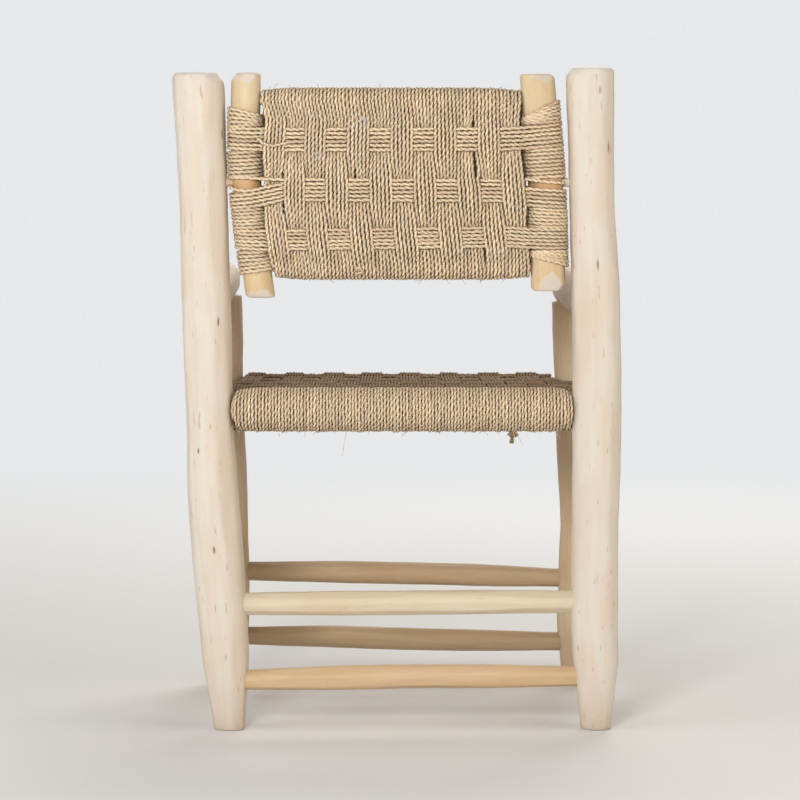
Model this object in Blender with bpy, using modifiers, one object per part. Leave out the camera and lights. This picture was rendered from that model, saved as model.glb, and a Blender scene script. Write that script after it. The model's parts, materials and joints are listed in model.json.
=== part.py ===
"""Armchair of debarked branches, with a rope seat and a rope-woven back that tilts on two pegs.

Metres, +Z up. The sitter faces +Y, so +X is the sitter's right hand. The origin lies on the floor, in
the middle of the chair's outline.
"""

import math

import bmesh
import bpy
from mathutils import Vector

# Plan of the legs, before each leg's own lean
LEG_SPACING = 0.510
SEAT_DEPTH = 0.420
REAR_Y = -0.225

# Legs
REAR_POST_HEIGHT = 0.900
REAR_POST_DIAMETER = 0.066
FRONT_LEG_DIAMETER = 0.062
FOOT_DIAMETER = 0.042
FOOT_TAPER = 0.095
FOOT_TAPER_GIRTH = 0.97
FOOT_UPRIGHT = 0.004
HEAD_CHAMFER = 0.013
HEAD_CHAMFER_GIRTH = 0.83

# Armrests
ARM_HEIGHT_LEFT = 0.594
ARM_HEIGHT_RIGHT = 0.584
ARM_DIAMETER = 0.058
ARM_OVERHANG = 0.064
ARM_END_ROUNDING = 0.010
ARM_END_GIRTH = 0.78
ARM_TENON_DIAMETER = 0.028
ARM_TENON_DEPTH = 0.020
LEG_TENON_DIAMETER = 0.024
LEG_TENON_RISE = 0.010
TENON_ROOT = 0.030
SADDLE_LIP = 0.021

# Seat rails
SEAT_RAIL_HEIGHT_REAR = 0.438
SEAT_RAIL_HEIGHT_FRONT = 0.430
SEAT_RAIL_DIAMETER = 0.046
SIDE_RAIL_HEIGHT = 0.424
SIDE_RAIL_DIAMETER = 0.041
SEAT_TENON_DIAMETER = 0.022
SEAT_TENON_WALL = 0.001
SEAT_RAIL_SHOULDER = 0.008

# Stretchers: their heights at the left (or rear) and the right (or front) leg
STRETCHER_DIAMETER = 0.033
STRETCHER_TENON_DIAMETER = 0.021
STRETCHER_TENON_DEPTH = 0.018
REAR_UPPER_HEIGHTS = (0.172, 0.175)
REAR_LOWER_HEIGHTS = (0.067, 0.072)
FRONT_UPPER_HEIGHTS = (0.166, 0.154)
FRONT_LOWER_HEIGHTS = (0.070, 0.060)
SIDE_UPPER_HEIGHTS = (0.232, 0.228)
SIDE_LOWER_HEIGHTS = (0.122, 0.116)

# Tilting back: heights are from the pivot line through its two pegs
PIVOT_HEIGHT = 0.7475
STILE_LEFT_DIAMETER = 0.0400
STILE_RIGHT_DIAMETER = 0.0470
STILE_LEFT_RISE = 0.1495
STILE_RIGHT_RISE = 0.1480
STILE_LEFT_DROP = 0.1568
STILE_RIGHT_DROP = 0.1500
STILE_LEAN = 0.060
STILE_CHAMFER = 0.008
STILE_CHAMFER_GIRTH = 0.80
BARE_PEG_LEFT = 0.0145
BARE_PEG_RIGHT = 0.0120
PEG_DIAMETER = 0.013
PEG_IN_STILE = 0.014
PEG_IN_POST = 0.024
PEG_ROUNDING = 0.0015
BACK_RAIL_RISE = 0.1105
BACK_RAIL_DROP = 0.1145
BACK_RAIL_DIAMETER = 0.026
BACK_TENON_DIAMETER = 0.017
BACK_TENON_DEPTH = 0.013
BACK_RAIL_NECK = 0.009

# Rope, laid flat in bands of several turns
ROPE_DIAMETER = 0.0054
BAND_THICKNESS = 0.0042
ROPES_PER_BAND = 5
BAND_WIDTH = ROPES_PER_BAND * ROPE_DIAMETER
WEAVE_GAP = 0.0005
BAND_SIDE_GAP = 0.0010
BAND_EDGE = 0.0010
POST_GAP = 0.0030
BACK_WARP_BANDS = 12
SEAT_WARP_BANDS = 16
SEAT_WEFT_BANDS = 6
WEFT_STRAIGHT = 0.045
BACK_WEFT_HEIGHTS = (0.0588, -0.0108, -0.0763)
BACK_WEFT_DIPS = (0.0, 0.0132, 0.0)
WINDING_PITCH = 0.0059
WINDING_TOP = 0.104
WINDING_BOTTOM = -0.120

# Fits and facets
FIT = 0.0004
HOLE_END_GAP = 0.0006
WELD = 0.00001
SIDES = 12
LEG_RESOLUTION = 4
ROUND_RESOLUTION = 4
STRETCHER_RESOLUTION = 3
ROPE_RESOLUTION = 1
POINTS_PER_TURN = SIDES
ARC_STEP = math.radians(36)
SHARP_ANGLE = math.radians(40)

# How each leg leans: shift of its foot and of its head from its place in the plan, to the right
REAR_LEFT_LEAN = (0.0255, -0.0180)
REAR_RIGHT_LEAN = (0.0180, 0.0075)
FRONT_LEFT_LEAN = (0.0115, -0.0035)
FRONT_RIGHT_LEAN = (0.0140, 0.0080)

# How each leg bows and swells: share of its height, bow to the right, bow forward, girth
REAR_LEFT_SHAPE = (
    (0.174, -0.0014, 0.0005, 1.00),
    (0.252, -0.0034, 0.0010, 1.06),
    (0.349, -0.0059, 0.0016, 1.05),
    (0.462, -0.0052, 0.0020, 0.96),
    (0.646, -0.0013, 0.0014, 1.00),
    (0.773, 0.0012, 0.0006, 0.975),
    (0.885, 0.0013, 0.0, 1.02),
    (0.955, 0.0002, 0.0, 1.055),
)
REAR_RIGHT_SHAPE = (
    (0.156, -0.0020, -0.0004, 0.97),
    (0.276, 0.0007, -0.0010, 0.975),
    (0.414, 0.0037, -0.0015, 1.00),
    (0.559, 0.0052, -0.0012, 1.01),
    (0.679, 0.0040, -0.0006, 1.00),
    (0.790, 0.0012, 0.0, 0.935),
    (0.885, 0.0003, 0.0, 0.94),
    (0.955, -0.0004, 0.0, 0.98),
)
FRONT_LEFT_SHAPE = (
    (0.260, 0.0010, 0.0008, 1.00),
    (0.520, 0.0020, 0.0014, 1.015),
    (0.700, 0.0, 0.0010, 0.98),
    (0.880, 0.0015, 0.0004, 0.97),
)
FRONT_RIGHT_SHAPE = (
    (0.212, 0.0029, -0.0005, 1.00),
    (0.417, 0.0086, -0.0010, 1.01),
    (0.620, 0.0040, -0.0012, 1.00),
    (0.880, 0.0, -0.0006, 0.98),
)

# Share of an armrest's length, bow to the right, bow upward, girth
ARM_SHAPE = (
    (0.20, 0.0004, 0.0010, 1.00),
    (0.45, 0.0010, 0.0020, 1.03),
    (0.72, 0.0006, 0.0010, 1.01),
)

# Share of a stretcher's visible length, bow, girth
STRETCHER_SHAPE = (
    (0.10, 0.0006, 0.80),
    (0.28, 0.0016, 0.97),
    (0.52, 0.0022, 1.00),
    (0.76, 0.0014, 0.93),
    (0.91, 0.0005, 0.76),
)

PALE_WOOD = ((0.80, 0.66, 0.48, 1.0), 0.55)
YELLOW_WOOD = ((0.78, 0.58, 0.34, 1.0), 0.50)
STRAW_ROPE = ((0.52, 0.40, 0.25, 1.0), 0.85)

RIGHT = Vector((1.0, 0.0, 0.0))
FORWARD = Vector((0.0, 1.0, 0.0))
UP = Vector((0.0, 0.0, 1.0))
X, Y, Z = range(3)


class Branch:
    """A round stick as rings of (centre, radius), which can be read along its main axis."""

    def __init__(self, rings, axis):
        self.rings = rings
        self.axis = axis

    def at(self, place):
        """Centre and radius where the branch crosses this place on its main axis."""
        for (first, thick), (second, thin) in zip(self.rings, self.rings[1:]):
            if first[self.axis] <= place <= second[self.axis]:
                share = (place - first[self.axis]) / (second[self.axis] - first[self.axis])
                return first.lerp(second, share), thick + (thin - thick) * share
        raise ValueError(f"{place} is off the branch")

    def swollen(self, gap):
        """The same branch, thicker all round by a gap."""
        return Branch([(centre, radius + gap) for centre, radius in self.rings], self.axis)


def hole_radius(peg_radius):
    """Radius of a faceted hole that leaves the fit all round a round peg."""
    return (peg_radius + FIT) / math.cos(math.pi / SIDES)


def curve_object(name, points, resolution):
    """A tube through points of (centre, radius), with closed ends and its origin at its first point."""
    curve = bpy.data.curves.new(name, "CURVE")
    curve.dimensions = "3D"
    curve.bevel_depth = 1.0
    curve.bevel_resolution = resolution
    curve.use_fill_caps = True
    spline = curve.splines.new("POLY")
    spline.points.add(len(points) - 1)
    origin = points[0][0]
    for point, (centre, radius) in zip(spline.points, points):
        point.co = (*(centre - origin), 1.0)
        point.radius = radius
    tube = bpy.data.objects.new(name, curve)
    tube.location = origin
    return tube


def as_solid(tube):
    """The tube as a closed mesh object, so that it can be cut and joined."""
    bpy.context.scene.collection.objects.link(tube)
    bpy.context.view_layer.update()
    seen = tube.evaluated_get(bpy.context.evaluated_depsgraph_get())
    mesh = bpy.data.meshes.new_from_object(seen)
    shape = bmesh.new()
    shape.from_mesh(mesh)
    bmesh.ops.remove_doubles(shape, verts=shape.verts, dist=WELD)
    shape.to_mesh(mesh)
    shape.free()
    mesh.shade_smooth()
    mesh.set_sharp_from_angle(angle=SHARP_ANGLE)
    name = tube.name
    where = tube.matrix_world.copy()
    bpy.data.objects.remove(tube)
    solid = bpy.data.objects.new(name, mesh)
    solid.matrix_world = where
    return solid


def place(piece, material, parent):
    """Puts a finished piece in the chair, under its parent, in its material."""
    chair.objects.link(piece)
    piece.data.materials.append(material)
    bpy.context.view_layer.update()
    piece.parent = parent
    piece.matrix_parent_inverse = parent.matrix_world.inverted()
    return piece


def hide(tool):
    """Marks an object as a tool that only cuts or joins."""
    cutters.objects.link(tool)
    tool.hide_render = True
    tool.display_type = "WIRE"
    return tool


def round_tool(name, start, end, radius):
    """A hidden cylinder between two points."""
    shape = bmesh.new()
    bmesh.ops.create_cone(
        shape,
        cap_ends=True,
        segments=SIDES,
        radius1=radius,
        radius2=radius,
        depth=(end - start).length,
    )
    mesh = bpy.data.meshes.new(name)
    shape.to_mesh(mesh)
    shape.free()
    tool = bpy.data.objects.new(name, mesh)
    tool.location = (start + end) / 2
    tool.rotation_mode = "QUATERNION"
    tool.rotation_quaternion = (end - start).to_track_quat("Z", "Y")
    return hide(tool)


def apply_tool(piece, tool, operation="DIFFERENCE"):
    """Cuts a piece with a tool, or joins the tool to it."""
    boolean = piece.modifiers.new(tool.name, "BOOLEAN")
    boolean.operation = operation
    boolean.object = tool


def bore(piece, mouth, end, radius):
    """A blind hole for a round peg of this radius, from outside the mouth to just past the peg's end."""
    inward = (end - mouth).normalized()
    outside = mouth - inward * radius
    tool = round_tool(f"{piece.name}_hole", outside, end + inward * HOLE_END_GAP, hole_radius(radius))
    apply_tool(piece, tool)


def make_material(name, look):
    colour, roughness = look
    material = bpy.data.materials.new(name)
    material.use_nodes = True
    shader = material.node_tree.nodes["Principled BSDF"]
    shader.inputs["Base Color"].default_value = colour
    shader.inputs["Roughness"].default_value = roughness
    shader.inputs["Metallic"].default_value = 0.0
    material.diffuse_color = colour
    return material


def leg_branch(side, y, lean, height, diameter, shape, head):
    """The rings of a leg: level foot, taper, its own bows and girths, and its head."""
    plan = side * LEG_SPACING / 2
    foot = Vector((plan + lean[0], y, 0.0))
    top = Vector((plan + lean[1], y, height))
    rings = [(foot, FOOT_DIAMETER / 2), (foot + UP * FOOT_UPRIGHT, FOOT_DIAMETER / 2)]
    rings.append((foot.lerp(top, FOOT_TAPER / height), FOOT_TAPER_GIRTH * diameter / 2))
    for share, sideways, forward, girth in shape:
        centre = foot.lerp(top, share) + RIGHT * sideways + FORWARD * forward
        rings.append((centre, girth * diameter / 2))
    last_girth = shape[-1][-1]
    for below, girth in head:
        rings.append((top - UP * below, last_girth * girth * diameter / 2))
    return Branch(rings, Z)


def between(first, second, places, reaches, tenon_radius, body):
    """A rail between two branches: tenons at its ends and a body of (share, offset, radius) between.

    places are where it meets each branch, and reaches how far each tenon stops from the branch's axis.
    Returns the rail's rings and, for each end, the mouth and the bottom of its hole.
    """
    (start, start_radius), (end, end_radius) = (b.at(p) for b, p in zip((first, second), places))
    along = (end - start).normalized()
    tips = (start + along * reaches[0], end - along * reaches[1])
    mouths = (start + along * start_radius, end - along * end_radius)
    rings = [(tips[0], tenon_radius), (mouths[0], tenon_radius)]
    for share, offset, radius in body:
        rings.append((mouths[0].lerp(mouths[1], share) + offset, radius))
    rings += [(mouths[1], tenon_radius), (tips[1], tenon_radius)]
    return rings, tuple(zip(mouths, tips))


def stretcher(name, first, second, heights):
    """A stretcher that is whittled down to a tenon at each leg."""
    radius = STRETCHER_TENON_DIAMETER / 2
    reaches = [leg.at(h)[1] - STRETCHER_TENON_DEPTH for leg, h in zip((first, second), heights)]
    body = [(s, UP * bow, g * STRETCHER_DIAMETER / 2) for s, bow, g in STRETCHER_SHAPE]
    rings, holes = between(first, second, heights, reaches, radius, body)
    place(curve_object(name, rings, STRETCHER_RESOLUTION), pale_wood, frame)
    return holes


def seat_rail(name, first, second, height, diameter, axis):
    """A seat rail with short shoulders; its tenons stop short of the rail that crosses in the leg."""
    radius = SEAT_TENON_DIAMETER / 2
    reach = hole_radius(radius) + HOLE_END_GAP + SEAT_TENON_WALL
    length = (first.at(height)[0] - second.at(height)[0]).length
    shoulder = SEAT_RAIL_SHOULDER / length
    body = [(s, Vector(), diameter / 2) for s in (shoulder, 0.5, 1.0 - shoulder)]
    rings, holes = between(first, second, (height, height), (reach, reach), radius, body)
    place(curve_object(name, rings, ROUND_RESOLUTION), pale_wood, frame)
    return Branch(rings, axis), holes


def flat_band(name, path, across, width, thickness, closed, parent):
    """A flat band of rope along a path, its width along one direction and its thickness square to it."""
    mesh = bpy.data.meshes.new(name)
    shape = bmesh.new()
    rows = [[shape.verts.new(p + across * (side * width / 2)) for side in (-1, 1)] for p in path]
    nexts = rows[1:] + rows[:1] if closed else rows[1:]
    for row, following in zip(rows, nexts):
        shape.faces.new((row[0], row[1], following[1], following[0]))
    shape.to_mesh(mesh)
    shape.free()
    band = bpy.data.objects.new(name, mesh)
    solidify = band.modifiers.new("thickness", "SOLIDIFY")
    solidify.thickness = thickness
    solidify.offset = 0.0
    solidify.use_even_offset = True
    return place(band, straw_rope, parent)


def tangent_angle(centre, radius, target, turn):
    """Angle on a circle where a straight run to or from the target touches it, on the side of turn."""
    away = target - centre
    return math.atan2(away[1], away[0]) + turn * math.acos(radius / away.length)


def arc(centre, radius, before, after, turn):
    """Points round a circle, from a run that comes from before to a run that goes on to after.

    turn is 1 to go round counter-clockwise and -1 to go round clockwise, seen in the arc's plane.
    """
    first = tangent_angle(centre, radius, before, turn)
    last = tangent_angle(centre, radius, after, -turn)
    sweep = (turn * (last - first)) % (2 * math.pi)
    steps = math.ceil(sweep / ARC_STEP)
    angles = [first + turn * sweep * step / steps for step in range(steps + 1)]
    return [centre + radius * Vector((math.cos(a), math.sin(a))) for a in angles]


def band_radius(core_radius):
    """Radius of a band's middle round a rail, so that no chord of its arc cuts into the rail."""
    return (core_radius + FIT + BAND_THICKNESS / 2) / math.cos(ARC_STEP / 2)


def winding(name, stile, turns, inner, outer, side):
    """Rope wound round a stile, with the heights of its turns on the inner and the outer side.

    A turn has as many sides as the stile, so it lies evenly on the stile's flats.
    """
    steps = round(turns * POINTS_PER_TURN)
    angle_step = 2 * math.pi / POINTS_PER_TURN
    points = []
    for step in range(steps + 1):
        angle = step * angle_step
        share = step / steps
        low = inner[0] + (inner[1] - inner[0]) * share
        high = outer[0] + (outer[1] - outer[0]) * share
        height = low + (high - low) * (1 - math.cos(angle)) / 2
        centre, core = stile.at(PIVOT_HEIGHT + height)
        radius = core + FIT + ROPE_DIAMETER / 2
        points.append(centre + radius * Vector((-side * math.cos(angle), math.sin(angle), 0.0)))
    lead_in = points[0] + (points[0] - points[1]).normalized() * ROPE_DIAMETER
    lead_out = points[-1] + (points[-1] - points[-2]).normalized() * ROPE_DIAMETER
    gap = least_gap(points)
    print(f"{name}: {turns:.2f} turns, least gap to itself {gap * 1000:.2f} mm")
    tube = [(p, ROPE_DIAMETER / 2) for p in (lead_in, *points, lead_out)]
    place(curve_object(name, tube, ROPE_RESOLUTION), straw_rope, back)


def least_gap(points):
    """Least gap between turns of a wound rope, over all points half a turn or more apart."""
    apart = POINTS_PER_TURN // 2
    spans = [
        (second - first).length
        for index, first in enumerate(points)
        for second in points[index + apart :]
    ]
    return min(spans) - ROPE_DIAMETER


def legs():
    """The four legs as branches and as solids, by name."""
    chamfer = ((HEAD_CHAMFER, 1.0), (0.0, HEAD_CHAMFER_GIRTH))
    plain = ((0.0, 1.0),)
    left_top = ARM_HEIGHT_LEFT - SADDLE_LIP
    right_top = ARM_HEIGHT_RIGHT - SADDLE_LIP
    front_y = REAR_Y + SEAT_DEPTH
    post, leg = REAR_POST_DIAMETER, FRONT_LEG_DIAMETER
    rear = REAR_POST_HEIGHT
    branches = {
        "rear_post_left": leg_branch(-1, REAR_Y, REAR_LEFT_LEAN, rear, post, REAR_LEFT_SHAPE, chamfer),
        "rear_post_right": leg_branch(1, REAR_Y, REAR_RIGHT_LEAN, rear, post, REAR_RIGHT_SHAPE, chamfer),
        "front_leg_left": leg_branch(-1, front_y, FRONT_LEFT_LEAN, left_top, leg, FRONT_LEFT_SHAPE, plain),
        "front_leg_right": leg_branch(1, front_y, FRONT_RIGHT_LEAN, right_top, leg, FRONT_RIGHT_SHAPE, plain),
    }
    solids = {}
    for name, branch in branches.items():
        solid = as_solid(curve_object(name, branch.rings, LEG_RESOLUTION))
        solids[name] = place(solid, pale_wood, frame)
    return branches, solids


def armrest(side, height, branches, solids):
    """An armrest: coped round the rear post, tenoned into it, and resting on the front leg's saddle."""
    name = f"armrest_{side}"
    post, leg = branches[f"rear_post_{side}"], branches[f"front_leg_{side}"]
    post_solid, leg_solid = solids[f"rear_post_{side}"], solids[f"front_leg_{side}"]
    start, post_radius = post.at(height)
    head = leg.rings[-1][0]
    over_leg = Vector((head.x, head.y, height))
    along = (over_leg - start).normalized()
    end = over_leg + along * ARM_OVERHANG
    radius = ARM_DIAMETER / 2
    rings = [(start, radius)]
    for share, sideways, upward, girth in ARM_SHAPE:
        rings.append((start.lerp(end, share) + RIGHT * sideways + UP * upward, girth * radius))
    rings += [(end - along * ARM_END_ROUNDING, radius), (end, ARM_END_GIRTH * radius)]
    branch = Branch(rings, Y)

    arm = place(as_solid(curve_object(name, rings, ROUND_RESOLUTION)), pale_wood, frame)
    around_post = post.swollen(FIT)
    apply_tool(arm, hide(as_solid(curve_object(f"{name}_cope", around_post.rings, LEG_RESOLUTION))))
    tip = start + along * (post_radius - ARM_TENON_DEPTH)
    mouth = start + along * post_radius
    tenon = round_tool(f"{name}_tenon", tip, mouth + along * TENON_ROOT, ARM_TENON_DIAMETER / 2)
    apply_tool(arm, tenon, "UNION")
    bore(post_solid, mouth, tip, ARM_TENON_DIAMETER / 2)

    around_arm = branch.swollen(FIT)
    saddle = hide(as_solid(curve_object(f"{name}_saddle", around_arm.rings, ROUND_RESOLUTION)))
    apply_tool(leg_solid, saddle)
    seat, arm_radius = branch.at(over_leg.y)
    stub = seat + UP * LEG_TENON_RISE
    root = seat - UP * (arm_radius + TENON_ROOT)
    leg_tenon = round_tool(f"front_leg_{side}_tenon", root, stub, LEG_TENON_DIAMETER / 2)
    apply_tool(leg_solid, leg_tenon, "UNION")
    bore(arm, seat - UP * arm_radius, stub, LEG_TENON_DIAMETER / 2)


def stretchers(branches, solids):
    """Two stretchers on each side of the chair, with a hole in each leg for each tenon."""
    sides = (
        ("rear", "rear_post_left", "rear_post_right", REAR_UPPER_HEIGHTS, REAR_LOWER_HEIGHTS),
        ("front", "front_leg_left", "front_leg_right", FRONT_UPPER_HEIGHTS, FRONT_LOWER_HEIGHTS),
        ("left", "rear_post_left", "front_leg_left", SIDE_UPPER_HEIGHTS, SIDE_LOWER_HEIGHTS),
        ("right", "rear_post_right", "front_leg_right", SIDE_UPPER_HEIGHTS, SIDE_LOWER_HEIGHTS),
    )
    for side, first, second, upper, lower in sides:
        for level, heights in (("upper", upper), ("lower", lower)):
            name = f"stretcher_{side}_{level}"
            holes = stretcher(name, branches[first], branches[second], heights)
            for leg, hole in zip((first, second), holes):
                bore(solids[leg], *hole, STRETCHER_TENON_DIAMETER / 2)


def seat_rails(branches, solids):
    """The four seat rails as branches, with a hole in each leg for each tenon."""
    sides = (
        ("rear", "rear_post_left", "rear_post_right", SEAT_RAIL_HEIGHT_REAR, SEAT_RAIL_DIAMETER, X),
        ("front", "front_leg_left", "front_leg_right", SEAT_RAIL_HEIGHT_FRONT, SEAT_RAIL_DIAMETER, X),
        ("left", "rear_post_left", "front_leg_left", SIDE_RAIL_HEIGHT, SIDE_RAIL_DIAMETER, Y),
        ("right", "rear_post_right", "front_leg_right", SIDE_RAIL_HEIGHT, SIDE_RAIL_DIAMETER, Y),
    )
    rails = {}
    for side, first, second, height, diameter, axis in sides:
        name = f"seat_rail_{side}"
        rails[side], holes = seat_rail(name, branches[first], branches[second], height, diameter, axis)
        for leg, hole in zip((first, second), holes):
            bore(solids[leg], *hole, SEAT_TENON_DIAMETER / 2)
    return rails


def seat_weft_places(branches):
    """Where the cross bands of the seat lie, from the rear posts to the front legs."""
    rears = [branches[f"rear_post_{side}"].at(SIDE_RAIL_HEIGHT) for side in ("left", "right")]
    fronts = [branches[f"front_leg_{side}"].at(SIDE_RAIL_HEIGHT) for side in ("left", "right")]
    first = max(centre.y + radius for centre, radius in rears) + POST_GAP + BAND_WIDTH / 2
    last = min(centre.y - radius for centre, radius in fronts) - POST_GAP - BAND_WIDTH / 2
    step = (last - first) / (SEAT_WEFT_BANDS - 1)
    return [first + step * index for index in range(SEAT_WEFT_BANDS)]


def seat_weft(rails, places):
    """The seat's cross bands: one long band wound round both side rails, moving on underneath."""
    radius = band_radius(SIDE_RAIL_DIAMETER / 2)
    path = []
    for y in places:
        left, right = (rails[side].at(y)[0] for side in ("left", "right"))
        lefts = Vector((left.x, left.z))
        rights = Vector((right.x, right.z))
        up, down = Vector((0.0, radius)), Vector((0.0, -radius))
        inset = Vector((WEFT_STRAIGHT, 0.0))
        loop = [lefts + down + inset] if path else []
        loop += arc(lefts, radius, rights + down, rights + up, -1)
        loop += arc(rights, radius, lefts + up, lefts + down, -1)
        loop += [rights + down - inset]
        path += [Vector((p.x, y, p.y)) for p in loop]
    flat_band("seat_weft", path, FORWARD, BAND_WIDTH, BAND_THICKNESS, False, frame)


def seat_warp(branches, rails, places):
    """The seat's long bands: one band wound round the front and rear rails, woven through the weft."""
    radius = band_radius(SEAT_RAIL_DIAMETER / 2)
    weft = band_radius(SIDE_RAIL_DIAMETER / 2)
    lift = BAND_THICKNESS + WEAVE_GAP
    reach = BAND_WIDTH / 2 + BAND_EDGE
    ends = []
    for side, height in (("rear_post", SEAT_RAIL_HEIGHT_REAR), ("front_leg", SEAT_RAIL_HEIGHT_FRONT)):
        left, left_radius = branches[f"{side}_left"].at(height)
        right, right_radius = branches[f"{side}_right"].at(height)
        ends.append((left.x + left_radius, right.x - right_radius))
    first = max(left for left, right in ends) + POST_GAP
    last = min(right for left, right in ends) - POST_GAP
    pitch = (last - first) / SEAT_WARP_BANDS
    path = []
    for band in range(SEAT_WARP_BANDS):
        x = first + pitch * (band + 0.5)
        rear, front = (rails[side].at(x)[0] for side in ("rear", "front"))
        rears = Vector((rear.y, rear.z))
        fronts = Vector((front.y, front.z))
        over = []
        for index, y in enumerate(places):
            level = side_rail_level(rails, x, y) + weft
            level += lift if (band + index) % 2 else -lift
            over += [Vector((y - reach, level)), Vector((y + reach, level))]
        under = []
        for y in (places[-1] + reach, places[0] - reach):
            under.append(Vector((y, side_rail_level(rails, x, y) - weft + lift)))
        loop = under[1:] if band else []
        loop += arc(rears, radius, under[1], over[0], -1)
        loop += over
        loop += arc(fronts, radius, over[-1], under[0], -1)
        loop += under[:1]
        path += [Vector((x, p.x, p.y)) for p in loop]
    flat_band("seat_warp", path, RIGHT, pitch - BAND_SIDE_GAP, BAND_THICKNESS, False, frame)


def side_rail_level(rails, x, y):
    """Height of the side rails' middle at a place of the seat."""
    left, right = (rails[side].at(y)[0] for side in ("left", "right"))
    return left.z + (right.z - left.z) * (x - left.x) / (right.x - left.x)


def seat_wraps(rails, places):
    """Plain sleeves of rope on the side rails, between the cross bands."""
    above_flats = FIT + ROPE_DIAMETER / 2
    middle = SIDE_RAIL_DIAMETER / 2 + above_flats / math.cos(math.pi / SIDES)
    for side in ("left", "right"):
        for index, (first, second) in enumerate(zip(places, places[1:])):
            y = (first + second) / 2
            length = second - first - BAND_WIDTH - 2 * FIT
            centre = rails[side].at(y)[0]
            angles = [2 * math.pi * step / SIDES for step in range(SIDES)]
            ring = [centre + middle * (RIGHT * math.cos(a) + UP * math.sin(a)) for a in angles]
            name = f"seat_wrap_{side}_{index + 1}"
            flat_band(name, ring, FORWARD, length, ROPE_DIAMETER, True, frame)


def back_stiles(branches):
    """The two stiles of the back as branches; each keeps its bare length of peg to its post."""
    stiles = {}
    sizes = (
        ("left", -1, STILE_LEFT_DIAMETER, STILE_LEFT_RISE, STILE_LEFT_DROP, BARE_PEG_LEFT),
        ("right", 1, STILE_RIGHT_DIAMETER, STILE_RIGHT_RISE, STILE_RIGHT_DROP, BARE_PEG_RIGHT),
    )
    for side, sign, diameter, rise, drop, bare in sizes:
        post, post_radius = branches[f"rear_post_{side}"].at(PIVOT_HEIGHT)
        radius = diameter / 2
        x = post.x - sign * (post_radius + bare + radius)
        rings = []
        for height, girth in (
            (-drop, STILE_CHAMFER_GIRTH),
            (-drop + STILE_CHAMFER, 1.0),
            (rise - STILE_CHAMFER, 1.0),
            (rise, STILE_CHAMFER_GIRTH),
        ):
            centre = Vector((x - STILE_LEAN * height, REAR_Y, PIVOT_HEIGHT + height))
            rings.append((centre, girth * radius))
        stiles[side] = Branch(rings, Z)
    return stiles


def pivot_peg(side, sign, stile, stile_solid, post, post_solid):
    """A round peg, fast in its stile, that turns in a hole in the rear post."""
    radius = PEG_DIAMETER / 2
    outward = RIGHT * sign
    stile_centre, stile_radius = stile.at(PIVOT_HEIGHT)
    post_centre, post_radius = post.at(PIVOT_HEIGHT)
    line = Vector((0.0, REAR_Y, PIVOT_HEIGHT))
    stile_mouth = line + RIGHT * stile_centre.x + outward * stile_radius
    post_mouth = line + RIGHT * post_centre.x - outward * post_radius
    inner = stile_mouth - outward * PEG_IN_STILE
    outer = post_mouth + outward * PEG_IN_POST
    rings = [
        (inner, radius - PEG_ROUNDING),
        (inner + outward * PEG_ROUNDING, radius),
        (outer - outward * PEG_ROUNDING, radius),
        (outer, radius - PEG_ROUNDING),
    ]
    place(curve_object(f"pivot_peg_{side}", rings, ROUND_RESOLUTION), yellow_wood, back)
    bore(stile_solid, stile_mouth, inner, radius)
    bore(post_solid, post_mouth, outer, radius)


def back_frame(branches, solids):
    """Stiles, rails and pegs of the tilting back; gives the stiles as branches."""
    stiles = back_stiles(branches)
    stile_solids = {}
    for side, stile in stiles.items():
        solid = as_solid(curve_object(f"back_stile_{side}", stile.rings, ROUND_RESOLUTION))
        stile_solids[side] = place(solid, yellow_wood, back)
    tenon = BACK_TENON_DIAMETER / 2
    for name, height in (("top", BACK_RAIL_RISE), ("bottom", -BACK_RAIL_DROP)):
        places = (PIVOT_HEIGHT + height,) * 2
        reaches = [stile.at(places[0])[1] - BACK_TENON_DEPTH for stile in stiles.values()]
        span = (stiles["left"].at(places[0])[0] - stiles["right"].at(places[0])[0]).length
        neck = BACK_RAIL_NECK / span
        none = Vector()
        body = [
            (neck, none, tenon),
            (2 * neck, none, BACK_RAIL_DIAMETER / 2),
            (1.0 - 2 * neck, none, BACK_RAIL_DIAMETER / 2),
            (1.0 - neck, none, tenon),
        ]
        rings, holes = between(stiles["left"], stiles["right"], places, reaches, tenon, body)
        place(curve_object(f"back_rail_{name}", rings, ROUND_RESOLUTION), yellow_wood, back)
        for side, hole in zip(stiles, holes):
            bore(stile_solids[side], *hole, tenon)
    for side, sign in (("left", -1), ("right", 1)):
        post = f"rear_post_{side}"
        pivot_peg(side, sign, stiles[side], stile_solids[side], branches[post], solids[post])
    return stiles


def inner_faces(stiles, height):
    """The clear space between the two stiles at a height: its left and right ends."""
    left, left_radius = stiles["left"].at(height)
    right, right_radius = stiles["right"].at(height)
    clear = ROPE_DIAMETER + FIT
    return left.x + left_radius + clear, right.x - right_radius - clear


def back_weft_height(stiles, index, x):
    """Height of a cross band at a place between the stiles: it dips beside them, clear of the pegs."""
    height = PIVOT_HEIGHT + BACK_WEFT_HEIGHTS[index]
    left, right = inner_faces(stiles, height)
    pitch = (right - left) / BACK_WARP_BANDS
    into_web = min(max(min(x - left, right - x) / pitch, 0.0), 1.0)
    return height - BACK_WEFT_DIPS[index] * (1.0 - into_web)


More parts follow.
